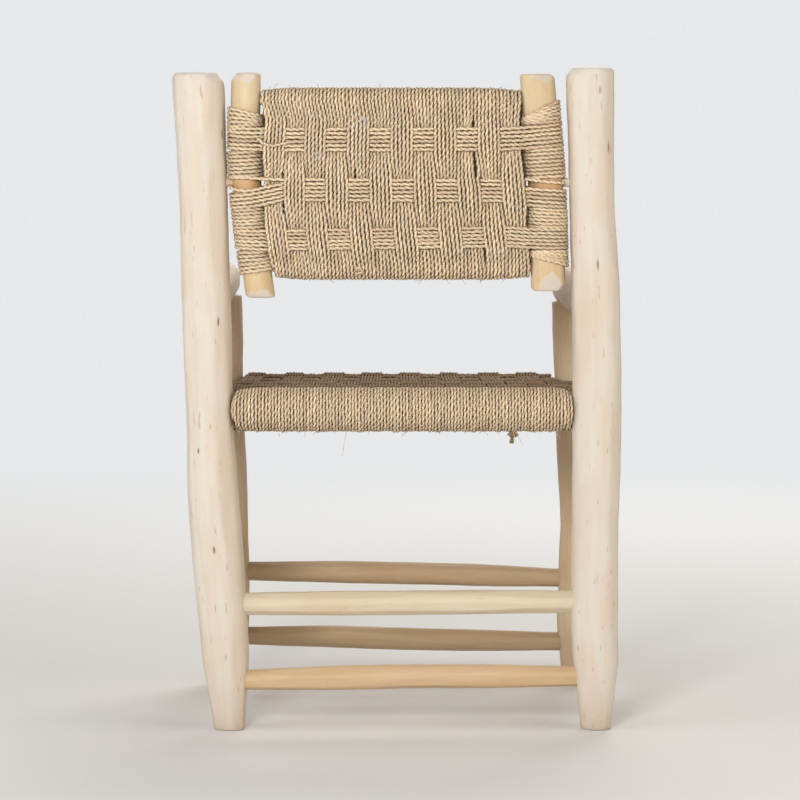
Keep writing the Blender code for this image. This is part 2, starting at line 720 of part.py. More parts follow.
def back_weft(stiles):
    """Three cross bands, each a closed loop round both stiles."""
    across = Vector((-STILE_LEAN, 0.0, 1.0)).normalized()
    for index in range(len(BACK_WEFT_HEIGHTS)):
        at_stile = PIVOT_HEIGHT + BACK_WEFT_HEIGHTS[index] - BACK_WEFT_DIPS[index]
        ends = {}
        for side, stile in stiles.items():
            centre, radius = stile.at(at_stile)
            ends[side] = (Vector((centre.x, centre.y)), band_radius(radius))
        (left, left_radius), (right, right_radius) = ends["left"], ends["right"]
        rear_left, rear_right = Vector((0.0, -left_radius)), Vector((0.0, -right_radius))
        web_left, web_right = inner_faces(stiles, PIVOT_HEIGHT + BACK_WEFT_HEIGHTS[index])
        pitch = (web_right - web_left) / BACK_WARP_BANDS
        turns = (web_left + pitch, web_right - pitch)
        loop = arc(left, left_radius, right - rear_right, right + rear_right, 1)
        loop += run_points(turns, left, right, rear_left, rear_right, 1)
        loop += arc(right, right_radius, left + rear_left, left - rear_left, 1)
        loop += run_points(turns[::-1], left, right, rear_left, rear_right, -1)
        path = [Vector((p.x, p.y, back_weft_height(stiles, index, p.x))) for p in loop]
        name = f"back_weft_{index + 1}"
        flat_band(name, path, across, BAND_WIDTH, BAND_THICKNESS, True, back)


def run_points(turns, left, right, rear_left, rear_right, face):
    """Where a straight run between the stiles changes height, on the rear (1) or front (-1) face."""
    points = []
    for x in turns:
        share = (x - left.x) / (right.x - left.x)
        points.append((left + face * rear_left).lerp(right + face * rear_right, share))
    return points


def back_warp_run(stiles, band, face):
    """The way of an upright band through the cross bands, downward on the rear (-1) or front (1) face."""
    lift = BAND_THICKNESS + WEAVE_GAP
    reach = BAND_WIDTH / 2 + BAND_EDGE
    left_radius = band_radius(STILE_LEFT_DIAMETER / 2)
    right_radius = band_radius(STILE_RIGHT_DIAMETER / 2)
    points = []
    for index, from_pivot in enumerate(BACK_WEFT_HEIGHTS):
        left, right = inner_faces(stiles, PIVOT_HEIGHT + from_pivot)
        edges = [left + (right - left) * (band + step) / BACK_WARP_BANDS for step in (0, 1)]
        heights = [back_weft_height(stiles, index, x) for x in edges]
        share = (band + 0.5) / BACK_WARP_BANDS
        level = left_radius + (right_radius - left_radius) * share
        level += lift if (band + index) % 2 == 0 else -lift
        depth = REAR_Y + face * level
        points.append(Vector((depth, max(heights) + reach)))
        points.append(Vector((depth, min(heights) - reach)))
    return points


def back_warp(stiles):
    """The upright bands: one band wound round both rails, moving on under the lower rail."""
    radius = band_radius(BACK_RAIL_DIAMETER / 2)
    width = min_pitch(stiles) - BAND_SIDE_GAP
    top = Vector((REAR_Y, PIVOT_HEIGHT + BACK_RAIL_RISE))
    bottom = Vector((REAR_Y, PIVOT_HEIGHT - BACK_RAIL_DROP))
    rears = [back_warp_run(stiles, band, -1)[::-1] for band in range(BACK_WARP_BANDS)]
    fronts = [back_warp_run(stiles, band, 1) for band in range(BACK_WARP_BANDS)]
    path = []
    for band, (rear, front) in enumerate(zip(rears, fronts)):
        loop = rear + arc(top, radius, rear[-1], front[0], -1) + front
        following = rears[band + 1] if band + 1 < BACK_WARP_BANDS else rear
        under = arc(bottom, radius, front[-1], following[0], -1)
        if band == 0:
            loop = [under[-1], *loop]
        path += [band_point(stiles, band, p) for p in loop]
        if following is rear:
            under = under[:1]
        path += [band_point(stiles, band + step / len(under), p) for step, p in enumerate(under)]
    flat_band("back_warp", path, RIGHT, width, BAND_THICKNESS, False, back)


def band_point(stiles, band, point):
    """A point of an upright band: the bands lean with the stiles."""
    left, right = inner_faces(stiles, point.y)
    pitch = (right - left) / BACK_WARP_BANDS
    return Vector((left + pitch * (band + 0.5), point.x, point.y))


def min_pitch(stiles):
    """The least spacing of the upright bands over the height of the back."""
    heights = (PIVOT_HEIGHT + BACK_RAIL_RISE, PIVOT_HEIGHT - BACK_RAIL_DROP)
    spaces = [inner_faces(stiles, height) for height in heights]
    return min(right - left for left, right in spaces) / BACK_WARP_BANDS


def back_windings(stiles):
    """Rope wound round each stile between the cross bands, the pegs and the rails' necks."""
    half_rope = ROPE_DIAMETER / 2 + BAND_EDGE / 2
    half_band = BAND_WIDTH / 2 + half_rope
    neck = BACK_TENON_DIAMETER / 2 + half_rope
    upper, middle, lower = (
        height - dip for height, dip in zip(BACK_WEFT_HEIGHTS, BACK_WEFT_DIPS)
    )
    above = (upper + half_band, BACK_RAIL_RISE - neck)
    mid_upper = (PEG_DIAMETER / 2 + half_rope, upper - half_band)
    mid_lower = (lower + half_band, middle - half_band)
    below = (-BACK_RAIL_DROP + neck, lower - half_band)
    spans = (
        (above, (above[0], WINDING_TOP)),
        (mid_upper, mid_upper),
        (mid_lower, mid_lower),
        (below, (WINDING_BOTTOM, below[1])),
    )
    for side, sign in (("left", -1), ("right", 1)):
        for index, (inner, outer) in enumerate(spans):
            turns = (inner[1] - inner[0]) / WINDING_PITCH
            winding(f"back_winding_{side}_{index + 1}", stiles[side], turns, inner, outer, sign)


for old in list(bpy.data.objects):
    bpy.data.objects.remove(old)

chair = bpy.data.collections.new("reclining_armchair")
cutters = bpy.data.collections.new("cutters")
for group in (chair, cutters):
    bpy.context.scene.collection.children.link(group)

pale_wood = make_material("pale_wood", PALE_WOOD)
yellow_wood = make_material("yellow_wood", YELLOW_WOOD)
straw_rope = make_material("straw_rope", STRAW_ROPE)

frame = bpy.data.objects.new("frame_origin", None)
back = bpy.data.objects.new("back_pivot", None)
back.location = (0.0, REAR_Y, PIVOT_HEIGHT)
for empty in (frame, back):
    chair.objects.link(empty)
back.parent = frame
bpy.context.view_layer.update()

leg_branches, leg_solids = legs()
armrest("left", ARM_HEIGHT_LEFT, leg_branches, leg_solids)
armrest("right", ARM_HEIGHT_RIGHT, leg_branches, leg_solids)
stretchers(leg_branches, leg_solids)
seat_frame = seat_rails(leg_branches, leg_solids)
weft_places = seat_weft_places(leg_branches)
seat_weft(seat_frame, weft_places)
seat_warp(leg_branches, seat_frame, weft_places)
seat_wraps(seat_frame, weft_places)
back_stile_branches = back_frame(leg_branches, leg_solids)
back_weft(back_stile_branches)
back_warp(back_stile_branches)
back_windings(back_stile_branches)
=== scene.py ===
"""Looks of the armchair: whittled branch wood and twisted straw rope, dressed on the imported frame.

Metres, +Z up. The sitter faces +Y, and the photograph looks along +Y at the back of the chair.
"""

import json
import math

import bpy
import numpy as np
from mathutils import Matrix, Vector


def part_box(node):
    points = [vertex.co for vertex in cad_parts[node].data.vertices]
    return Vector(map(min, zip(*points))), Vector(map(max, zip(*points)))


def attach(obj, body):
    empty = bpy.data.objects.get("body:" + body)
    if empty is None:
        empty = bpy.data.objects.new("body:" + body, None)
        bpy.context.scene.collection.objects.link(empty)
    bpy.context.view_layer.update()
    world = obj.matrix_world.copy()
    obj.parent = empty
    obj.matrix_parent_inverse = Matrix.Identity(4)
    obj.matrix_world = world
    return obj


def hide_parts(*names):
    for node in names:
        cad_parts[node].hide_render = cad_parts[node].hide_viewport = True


X, Y, Z = range(3)
AXES = np.eye(3)
SIDES = ("left", "right")

# Camera, found from the photograph's perspective
CAMERA_PLACE = (-0.0336, -5.3255, 0.8503)
CAMERA_RIGHT = math.radians(0.423)
CAMERA_DOWN = math.radians(4.471)
CAMERA_SENSOR = 36.0
CAMERA_LENS = 169.05

# Stage: a round floor that fades into the backdrop between two distances, and the light of the sky
FLOOR_COLOUR = (0.80, 0.80, 0.79)
FLOOR_RADIUS = 14.0
FLOOR_HEIGHT = -0.0005
FLOOR_FADE = (0.8, 4.0)
BACKDROP = (0.80, 0.81, 0.82)
SKY_COLOUR = (1.0, 0.97, 0.93)
SKY_STRENGTH = 0.27

# Square lamps: place, the point that they face, size, power, colour
LAMPS = {
    "key": ((-0.9, -4.1, 1.6), (0.0, -0.1, 0.5), 1.0, 99.0, (1.0, 0.99, 0.97)),
    "left fill": ((-3.0, -1.6, 1.3), (0.0, -0.1, 0.5), 2.2, 30.0, (1.0, 0.98, 0.95)),
    "right fill": ((2.9, -1.4, 1.2), (0.0, -0.1, 0.5), 2.2, 30.0, (1.0, 0.88, 0.72)),
    "front": ((0.8, 3.2, 2.4), (0.0, 0.1, 0.4), 2.4, 76.0, (1.0, 0.97, 0.93)),
}

# Rope: two strands laid round each other, right-handed
ROPE_DIAMETER = 0.0052
ROPE_RADIUS = ROPE_DIAMETER / 2
ROPE_PITCH = 0.0047
ROPE_TWIST = 0.0188
ROPE_STEP = ROPE_TWIST / 9
ROPE_FULLNESS = 1.075
WINDING_DIAMETER = 0.0053
SEAT_ROPE_DIAMETER = 0.0047
WEFT_ROPES = 6

# Outline of each strand's side of the rope: angle, share of the radius
STRAND = ((0, 1.0), (40, 0.91), (90, 0.58), (140, 0.91))
SECTION = [(angle + half, reach) for half in (0, 180) for angle, reach in STRAND]

# How far a rope wanders, swells, and turns faster or slower than its twist, each with its wave lengths
ROPE_WANDER = 0.00025
WANDER_WAVES = (0.031, 0.047, 0.083)
ROPE_UNEVEN = 0.06
UNEVEN_WAVES = (0.021, 0.055, 0.13)
TWIST_FLUTTER = 0.08
FLUTTER_WAVES = (0.05, 0.11)
TWIST_DRIFT = 0.45
DRIFT_WAVES = (0.29, 0.41, 0.67)

# Painted shade on a rope: how dark it is towards its neighbours, and between its strands
CREVICE_SHADE = 1.10
CROSSING_CREVICE_SHADE = 0.92
WINDING_CREVICE_SHADE = 0.85
STRAND_CREVICE_SHADE = 0.66

# Patterns start anywhere within these lengths; a rope's flat map is cut into rows
ROPE_PATTERN = 40.0
WOOD_PATTERN = 10.0
MAP_ROW = 0.60
MAP_ROW_FILL = 0.9

# Points along the ropes' paths: in straight runs, and round rails, stiles, windings and wraps
LEAST_ROPE_POINTS = 5
BACK_WARP_POINTS = 90
BACK_WEFT_POINTS = 260
SEAT_WARP_POINTS = 170
SEAT_WEFT_POINTS = 300
HEM_POINTS = 260
LOOSE_POINTS = 60
STRAW_POINTS = 12
RAIL_STEPS = 16
STILE_STEPS = 24
WINDING_STEPS = 32
WRAP_STEPS = 28

# How far a run goes on past its ends at the same height
LEAD = 0.01

# Weave of the back
BACK_BANDS = 12
BACK_ROPES = 72
BACK_WEAVE = 0.0038
WEFT_PLATEAU = 0.0135
WEFT_BEND = 0.0032
WEFT_REST = 0.004
WEFT_START = (20, 250)
WARP_SPREAD = 0.0012
EDGE_GAP = 0.0007
LEFT_STILE_REACH = 0.022
RIGHT_STILE_REACH = 0.025
RAIL_END_TAPER = 0.0038
RAIL_END_REACH = 0.055

# Slack between the weave and the right stile: width, height from the pivot, half length
RIGHT_SLACK = (0.0036, -0.005, 0.075)

# How far the bands lean to the left at heights from the pivot, and at shares of the width
BAND_LEANS = ((-0.0775, 0.0066), (-0.0106, 0.0036), (0.058, 0.0044))
LEAN_SHARES = ((0.0, 0.0), (0.22, 1.0), (1.0, 0.0))

# How far the edge ropes of the rear face are pushed in from the stiles, at heights from the pivot
LEFT_PUSHES = (
    (-0.030, 0.0),
    (-0.003, 0.0023),
    (0.019, 0.0038),
    (0.055, 0.0056),
    (0.084, 0.0078),
    (0.110, 0.0),
)
RIGHT_PUSHES = (
    (-0.110, 0.0),
    (-0.030, 0.0012),
    (0.004, 0.0024),
    (0.042, 0.0024),
    (0.084, 0.0034),
    (0.110, 0.0),
)

# Cross bands of the back: pitch of the ropes, then heights at the left stile's outer side, the left edge of
# the weave, one band inside it, one band inside the right edge, the right edge, the right stile's outer side
BACK_WEFTS = (
    (0.0055, (0.0588, 0.0588, 0.0580, 0.0588, 0.0600, 0.0648)),
    (0.0054, (-0.0227, -0.0160, -0.0092, -0.0108, -0.0162, -0.0200)),
    (0.0049, (-0.0775, -0.0775, -0.0770, -0.0728, -0.0750, -0.0763)),
)

# How far the top rope of the second band strays upward at these places
STRAY_BAND = 1
STRAY_RISES = (0.0164, 0.0079, 0.0, 0.0, 0.0070, 0.0054)

# Gaps that opened between upright ropes: rope on the gap's right, height from the pivot, half length, width
SLITS = (
    (59, 0.076, 0.010, 0.0036),
    (59, 0.026, 0.018, 0.0044),
    (60, 0.004, 0.007, 0.0036),
    (6, 0.009, 0.009, 0.0034),
    (6, -0.034, 0.013, 0.0034),
    (26, 0.012, 0.009, 0.0026),
    (60, -0.100, 0.018, 0.0028),
)

# Number of ropes over which the push of a gap dies away
SLIT_REACH = 2.2

# Windings on the stiles: turns, then heights from the pivot of the first and the last one, at the inner and
# at the outer side
WINDINGS = {
    "left": (
        (5, (0.0766, 0.0885), (0.0770, 0.1015)),
        (7, (0.0094, 0.0406), (0.0090, 0.0406)),
        (6, (-0.0605, -0.0366), (-0.0605, -0.0372)),
        (6, (-0.1165, -0.0942), (-0.1215, -0.0942)),
    ),
    "right": (
        (6, (0.0785, 0.0850), (0.0835, 0.1105)),
        (8, (0.0055, 0.0418), (0.0100, 0.0462)),
        (6, (-0.0598, -0.0350), (-0.0598, -0.0380)),
        (5, (-0.0978, -0.0930), (-0.1115, -0.0930)),
    ),
}

# A rope that left its course on the back, as places across it and heights from the pivot
LOOSE_ROPE = (
    (-0.1905, 0.0635),
    (-0.1871, 0.0601),
    (-0.1815, 0.0533),
    (-0.1690, 0.0495),
    (-0.1555, 0.0522),
    (-0.1419, 0.0555),
)

# How a rope lies on the rear face: over a stile's middle part, on top of the weave, its ends tucked in
OVER_STILE = 0.7
ON_TOP = 0.8
TUCK = 0.009
TUCK_LENGTH = 0.006
DEPTH_EVENING = 6
HEIGHT_EVENING = 3

# A small loop on the back: place across, height from the pivot, radius, start and turn in degrees
SMALL_LOOP = (-0.0517, -0.1185, 0.0040, -120, 330)
LOOP_SINK = 0.002

# Weave of the seat
SEAT_BANDS = 16
SEAT_ROPES = 106
SEAT_WEFTS = 6
SEAT_WEAVE = 0.0028
SEAT_CROWN = 0.0018
SEAT_SPREAD = 0.0150
SEAT_REAR_ENDS = (-0.2228, 0.2375)
SEAT_FRONT_ENDS = (-0.2205, 0.2335)
SEAT_UNDER_RISE = 0.0062
SEAT_UNDER_RUN = 0.03
SEAT_BEND = 0.005
SEAT_REST = 0.006
WARP_PLATEAU = 0.0125

# The rolls of rope round the rear and front seat rails: fuller on top, lower and bulging next to the posts
SEAT_CRESTS = {"rear": 0.0030, "front": 0.0020}
SEAT_END_DROP = 0.0042
SEAT_END_REACHES = (0.038, 0.026)
SEAT_END_BULGES = ((0.0, -0.0042), (0.10, 0.0), (0.94, 0.0), (1.0, 0.0018))
SEAT_BULGE_DEPTH = 0.020

# How far the long ropes hang loose below the rear rail, with waves counted in ropes
SEAT_LOOSE = 0.0015
LOOSE_BASE = 1.2
LOOSE_WAVES = (2.7, 6.1, 11.3)
LOOSE_SEED = 7

# Ropes along the front rail, and how the long ropes pass them
SEAT_HEM = (0.1715, 0.1770)
SEAT_HEM_SPAN = (0.1685, 0.1805)
SEAT_HEM_ENDS = (0.010, 0.006)
SEAT_HEM_LIFT = 0.0046
SEAT_HEM_DIP = 0.0022
SEAT_HEM_UNDER = -0.001
FRONT_REST = 0.003

# Where the seat's top is browned, partly by use and partly as painted shade: length of the change in front of
# the rear rail, depth below the top
WEAR_AND_SHADE_RUN = 0.016
WEAR_AND_SHADE_DEPTH = 0.012

# Strands of a rope end that hangs from the rear seat rail: lean, length
SEAT_TAGS = ((-0.45, 0.012), (-0.08, 0.022), (0.40, 0.013))
SEAT_TAG_DIAMETER = 0.0060
TAG_FALL = (-0.1, -1.0)
TAG_ROOT = (0.0, -0.3, -0.9)

# Loose straws, with their places along the rear seat rail, their roots on it, directions, lengths and bends
WISP_DIAMETER = 0.0008
WISP_CURL = 0.3
WHISKERS = 34
WHISKER_LEAN = 0.8
SEAT_WHISKER_ANGLES = (215.0, 275.0)
SEAT_WHISKER_LENGTHS = (0.005, 0.009)
BACK_WHISKER_ANGLES = (-0.9, 0.9)
BACK_WHISKER_LENGTHS = (0.005, 0.008)
TUFT = 6
TUFT_PLACE = 0.1574
TUFT_SPREAD = 0.0015
TUFT_LEAN = 0.4
TUFT_FALL = (-0.3, -1.0)
TUFT_LENGTHS = (0.010, 0.016)
TUFT_ROOT = (0.0, -0.4, -0.9)
LONG_STRAW = (-0.0678, (-0.25, -0.2, -0.9), 0.040)
LONG_ROOT = (0.0, -0.2, -1.0)
TOP_STRAWS = (-0.148, -0.082, -0.0431)
TOP_STRAW_ANGLE = math.radians(128.0)
TOP_STRAW = ((1.0, -0.05, 0.06), 0.016, 0.12)
SKEW = np.array((0.60, 0.52, 0.61))

# Branch wood: rings of points along a stick, and the slices that measure its solid
RING_STEP = 0.003
RING_SIDES = 72
LEAST_RINGS = 12
SLICE_STEP = 0.006
SLICE_DIRECTIONS = 24
LEAST_SLICES = 8
SLICE_INSET = 0.0005
SMOOTHING = 0.012
SMOOTHED_LENGTH = 6 * SMOOTHING
END_RUN = 0.05
CAP_RINGS = ((0.94, 0.0006), (0.70, 0.0012), (0.35, 0.0014))

# Flats: how sharp their edges are, how unevenly they lie round the stick, least and further wave lengths of
# the strokes
FLAT_SHARPNESS = 140
FLAT_JITTER = 0.6
STROKE_WAVES = ((0.13, 0.12), (0.31, 0.2))
DEEPEST_STROKE = 1.3
GRAZING = 0.1
FAR_OFF = 9.0
CUT_EDGE = 0.02
LUMPS = 0.006
LUMP_WAVES = (0.045, 0.085, 0.15)

# Knots swell the wood round them and are sunk themselves
KNOT_CORE = 1.6
KNOT_RIM = 0.35
KNOT_SWELL = 0.0007
KNOT_DENT = 0.0010
SOIL_HEIGHT = 0.035

# Small bends of the real branches: place along the stick, half length, shift to the right (upward for those
# that lie across)
BENDS = {
    "back_stile_left": ((0.752, 0.105, -0.0070), (0.590, 0.060, 0.0022), (0.900, 0.060, 0.0025)),
    "back_stile_right": ((0.900, 0.100, -0.0008), (0.752, 0.100, 0.0026), (0.600, 0.060, -0.0018)),
    "rear_post_left": ((0.910, 0.140, 0.0036),),
    "rear_post_right": ((0.900, 0.300, -0.0010),),
    "stretcher_rear_upper": ((0.0, 0.150, -0.0022),),
    "stretcher_front_lower": ((0.05, 0.150, -0.0030),),
    "front_leg_left": ((0.580, 0.080, 0.0030),),
    "front_leg_right": ((0.570, 0.080, -0.0026),),
}

# Planes that shape the ends: angle, share of the radius left, slope
FOOT = {"low": [(angle, 0.96, 2.4) for angle in range(0, 360, 40)]}
ARM_SHARES = (0.74, 0.82, 0.70, 0.80) * 2
ARM_END = {"high": [(angle, share, 0.8) for angle, share in zip(range(20, 380, 45), ARM_SHARES)]}
LEFT_POST_TOP = (
    (270, 0.86, 0.80),
    (225, 0.88, 1.20),
    (180, 0.88, 1.00),
    (120, 0.86, 0.80),
    (60, 0.84, 0.80),
    (0, 0.78, 0.62),
    (320, 0.80, 0.70),
)
RIGHT_POST_TOP = (
    (270, 0.86, 0.45),
    (225, 0.80, 0.75),
    (180, 0.74, 0.80),
    (135, 0.82, 0.80),
    (90, 0.84, 0.60),
    (45, 0.88, 0.90),
    (0, 0.90, 1.30),
    (315, 0.88, 0.90),
)
LEFT_STILE_ENDS = {
    "high": (
        (180, 0.66, 0.72),
        (228, 0.72, 0.50),
        (275, 0.80, 0.27),
        (335, 0.88, 0.80),
        (20, 0.90, 1.20),
        (90, 0.82, 0.60),
    ),
    "low": ((180, 0.86, 1.10), (235, 0.80, 0.60), (285, 0.72, 0.48), (0, 0.96, 1.60), (90, 0.82, 0.60)),
}
RIGHT_STILE_ENDS = {
    "high": ((180, 0.92, 1.40), (250, 0.90, 0.60), (295, 0.76, 0.46), (355, 0.84, 1.00), (90, 0.84, 0.60)),
    "low": ((180, 0.88, 1.40), (245, 0.88, 1.00), (280, 0.62, 0.36), (335, 0.72, 0.70), (90, 0.80, 0.60)),
}

# How each branch was worked, and its marks, by the names in Carving
POST_HEAD = 0.018
POST = {"square": (0, POST_HEAD), "flat_depth": 0.055}
POSTS = {
    "left": {
        "cuts": {"high": LEFT_POST_TOP, **FOOT},
        "trim": (0, 0.005),
        "stains": ((0.897, 0.010, 0.10),),
        # Painted shade down the post's right side
        "flanks": ((332, 26, 0.17),),
        "knots": (
            (0.813, 330, 0.010, 0.0016),
            (0.826, 282, 0.008, 0.0014),
            (0.250, 265, 0.007, 0.0014),
            (0.560, 300, 0.009, 0.0014),
            (0.384, 240, 0.006, 0.0012),
        ),
    },
    "right": {
        "cuts": {"high": RIGHT_POST_TOP, **FOOT},
        "trim": (0, -0.002),
        # Painted shade down the post's sides
        "flanks": ((205, 24, 0.07), (350, 20, 0.06)),
        "knots": (
            (0.872, 292, 0.010, 0.0020),
            (0.795, 318, 0.014, 0.0024),
            (0.637, 274, 0.011, 0.0018),
            (0.395, 268, 0.009, 0.0016),
            (0.315, 272, 0.008, 0.0016),
        ),
    },
}
FRONT_LEG = {"cuts": FOOT, "trim": (0, 0.031), "square": (0, 0.045)}
ARMREST = {
    "cuts": ARM_END,
    "flat_depth": 0.035,
    "trim": (-0.008, 0),
    "square": (0.026, POST_HEAD),
    "belly": 0.20,
}
UPPER_STRETCHER = {"flats": 6, "flat_depth": 0.09}
LOWER_STRETCHER = {"flats": 6, "flat_depth": 0.10, "full": 0.45}
SEAT_RAIL = {"taper": (0.016, 0.045)}
STILE = {"square": (0.026, 0.026), "flat_depth": 0.02}
STILES = {
    "left": {"cuts": LEFT_STILE_ENDS, "trim": (0.0022, 0.0030)},
    "right": {"cuts": RIGHT_STILE_ENDS, "trim": (0.0045, 0.0030)},
}
STILE_STAIN = (0.612, 0.03, 0.22)
STILE_PEG_STAIN = (-0.005, 0.016, 0.80)
PEGS = {"left": {"stains": ((-0.235, 0.06, 0.45),)}, "right": {}}
BACK_RAIL = {"taper": (RAIL_END_TAPER + 0.001, RAIL_END_REACH + 0.012)}

# Stretchers: direction, woods of the upper and the lower one, fullness of the upper one; the brown wood of
# the front and side ones is partly painted shade
STRETCHERS = {
    "rear": (X, "cream", "honey", 0.75),
    "front": (X, "brown", "brown", 0.55),
    "left": (Y, "brown", "brown", 0.55),
    "right": (Y, "brown", "brown", 0.55),
}

# Woods: tone, streaks, broad tints, fresh cuts, strength of small dashes
# The tan and brown woods are darker than the pale one: partly a tone of their own, partly painted shade for
# the front and lower parts that lie in shadow
WOODS = {
    "pale": ((0.688, 0.636, 0.555), (0.652, 0.553, 0.432), (0.666, 0.544, 0.432), (0.715, 0.668, 0.594), 0.5),
    "tan": ((0.60, 0.468, 0.312), (0.538, 0.388, 0.239), (0.547, 0.393, 0.249), (0.68, 0.57, 0.44), 0.5),
    "brown": ((0.465, 0.343, 0.213), (0.41, 0.282, 0.163), (0.42, 0.288, 0.17), (0.62, 0.50, 0.37), 0.25),
    "cream": ((0.70, 0.60, 0.457), (0.647, 0.523, 0.366), (0.656, 0.523, 0.362), (0.75, 0.68, 0.57), 0.2),
    "honey": ((0.638, 0.466, 0.285), (0.57, 0.38, 0.21), (0.59, 0.40, 0.219), (0.70, 0.58, 0.42), 0.2),
    "yellow": ((0.674, 0.55, 0.363), (0.597, 0.443, 0.258), (0.616, 0.453, 0.268), (0.67, 0.60, 0.52), 0.5),
}
DASH_TONE = (0.36, 0.20, 0.10)
# Tone of stains, and of the painted shade on the posts' sides
STAIN_AND_SHADE_TONE = (0.55, 0.31, 0.14)
SOIL_TONE = (0.34, 0.24, 0.15)
KNOT_TONE = (0.17, 0.085, 0.035)

# Straw: blades from dark to light, then the tones laid over them
BLADES = (
    (0.28, (0.60, 0.41, 0.24)),
    (0.42, (0.86, 0.65, 0.42)),
    (0.56, (0.94, 0.77, 0.54)),
    (0.72, (0.97, 0.87, 0.68)),
)
GREY_STRAW = (0.68, 0.56, 0.41)
BROWN_STRAW = (0.66, 0.48, 0.34)
FIBRE_TONE = (0.42, 0.27, 0.15)
# Brown of use, which on the seat's top is partly painted shade
WEAR_AND_SHADE_TONE = (0.20, 0.115, 0.055)
# Painted shade between a rope's strands and towards its neighbouring ropes
GROOVE_SHADE_TONE = (0.12, 0.07, 0.035)

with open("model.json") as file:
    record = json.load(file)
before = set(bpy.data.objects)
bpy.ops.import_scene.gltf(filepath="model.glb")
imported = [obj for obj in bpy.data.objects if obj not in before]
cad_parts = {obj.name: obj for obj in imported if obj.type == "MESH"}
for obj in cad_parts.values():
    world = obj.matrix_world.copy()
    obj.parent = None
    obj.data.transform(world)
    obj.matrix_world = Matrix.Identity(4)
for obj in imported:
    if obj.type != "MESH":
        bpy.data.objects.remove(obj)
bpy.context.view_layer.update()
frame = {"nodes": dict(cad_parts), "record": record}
pivot = np.array(frame["record"]["behaviour"]["joints"][0]["pos_m"])


class Stick:
    """A CAD stick as centres and radii along its main axis."""

    def __init__(self, node, axis):
        low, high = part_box(node)
        points, edges = mesh_edges(node)
        count = max(int((high[axis] - low[axis]) / SLICE_STEP), LEAST_SLICES)
        self.axis = axis
        self.places = np.linspace(low[axis] + SLICE_INSET, high[axis] - SLICE_INSET, count)
        slices = [slice_stick(points, edges, axis, place) for place in self.places]
        self.centres = np.array([centre for centre, radius in slices])
        self.radii = np.array([radius for centre, radius in slices])
        aside = Z if axis == X else X
        for place, half, shift in BENDS.get(node, ()):
            self.centres[:, aside] += shift * np.exp(-(((self.places - place) / half) ** 2))

    def at(self, place):
        """Centre and radius at a place on the main axis."""
        centre = np.array([np.interp(place, self.places, self.centres[:, k]) for k in range(3)])
        return centre, np.interp(place, self.places, self.radii)


def mesh_edges(node):
    """Points and edges of a CAD node's mesh."""
    mesh = frame["nodes"][node].data
    points = np.empty(len(mesh.vertices) * 3, np.float32)
    mesh.vertices.foreach_get("co", points)
    edges = np.empty(len(mesh.edges) * 2, np.int32)
    mesh.edges.foreach_get("vertices", edges)
    return points.reshape(-1, 3).astype(float), edges.reshape(-1, 2)


def slice_stick(points, edges, axis, place):
    """Centre and radius of a stick's outline where a plane square to its main axis cuts it."""
    first, second = points[edges[:, 0]], points[edges[:, 1]]
    crosses = (first[:, axis] - place) * (second[:, axis] - place) < 0
    first, second = first[crosses], second[crosses]
    share = (place - first[:, axis]) / (second[:, axis] - first[:, axis])
    outline = np.delete(first + (second - first) * share[:, None], axis, axis=1)
    angles = np.pi * np.arange(SLICE_DIRECTIONS) / SLICE_DIRECTIONS
    directions = np.stack((np.cos(angles), np.sin(angles)), axis=1)
    spans = outline @ directions.T
    low, high = spans.min(axis=0), spans.max(axis=0)
    centre = 2 * (directions * ((low + high) / 2)[:, None]).mean(axis=0)
    return np.insert(centre, axis, place), ((high - low) / 2).max()


def smoothed(values, step):
    """Values along a stick with their corners rounded off."""
    reach = int(3 * SMOOTHING / step)
    weights = np.exp(-0.5 * (np.arange(-reach, reach + 1) * step / SMOOTHING) ** 2)
    weights /= weights.sum()
    before = 2 * values[0] - values[reach:0:-1]
    after = 2 * values[-1] - values[-2 : -reach - 2 : -1]
    return np.convolve(np.concatenate((before, values, after)), weights, mode="valid")


def evened(values, reach):
    """Values with each replaced by the mean of those within a reach of it."""
    width = 2 * reach + 1
    return np.convolve(np.pad(values, reach, mode="edge"), np.full(width, 1 / width), mode="valid")


def looked_up(place, table):
    """Value at a place between the rows (place, value) of a table."""
    return np.interp(place, *zip(*table))


def eased(places, stops):
    """Values that rest on each stop's stretch (start, end, value) and ease from one to the next."""
    starts, ends, values = (np.array(part) for part in zip(*stops))
    index = np.clip(np.searchsorted(starts, places, side="right") - 1, 0, len(stops) - 2)
    span = np.maximum(starts[index + 1] - ends[index], 1e-9)
    share = np.clip((places - ends[index]) / span, 0.0, 1.0)
    share = share * share * (3 - 2 * share)
    return values[index] + (values[index + 1] - values[index]) * share


def waves(rng, places, lengths):
    """A smooth chance curve of about unit height, with waves of these lengths."""
    total = np.zeros(len(places))
    for length in lengths:
        total += np.sin(2 * np.pi * (places / length + rng.random()))
    return total / math.sqrt(len(lengths))


def new_mesh(name, points, quads, caps, material):
    """A smooth mesh object of quads and many-sided caps."""
    mesh = bpy.data.meshes.new(name)
    mesh.vertices.add(len(points))
    mesh.vertices.foreach_set("co", points.astype(np.float32).ravel())
    corners = np.concatenate([quads.ravel(), *caps]).astype(np.int32)
    sizes = np.concatenate([np.full(len(quads), 4), [len(cap) for cap in caps]]).astype(np.int32)
    mesh.loops.add(len(corners))
    mesh.loops.foreach_set("vertex_index", corners)
    mesh.polygons.add(len(sizes))
    mesh.polygons.foreach_set("loop_start", np.concatenate(([0], np.cumsum(sizes)[:-1])).astype(np.int32))
    mesh.update(calc_edges=True)
    mesh.shade_smooth()
    mesh.materials.append(material)
    piece = bpy.data.objects.new(name, mesh)
    bpy.context.scene.collection.objects.link(piece)
    return piece


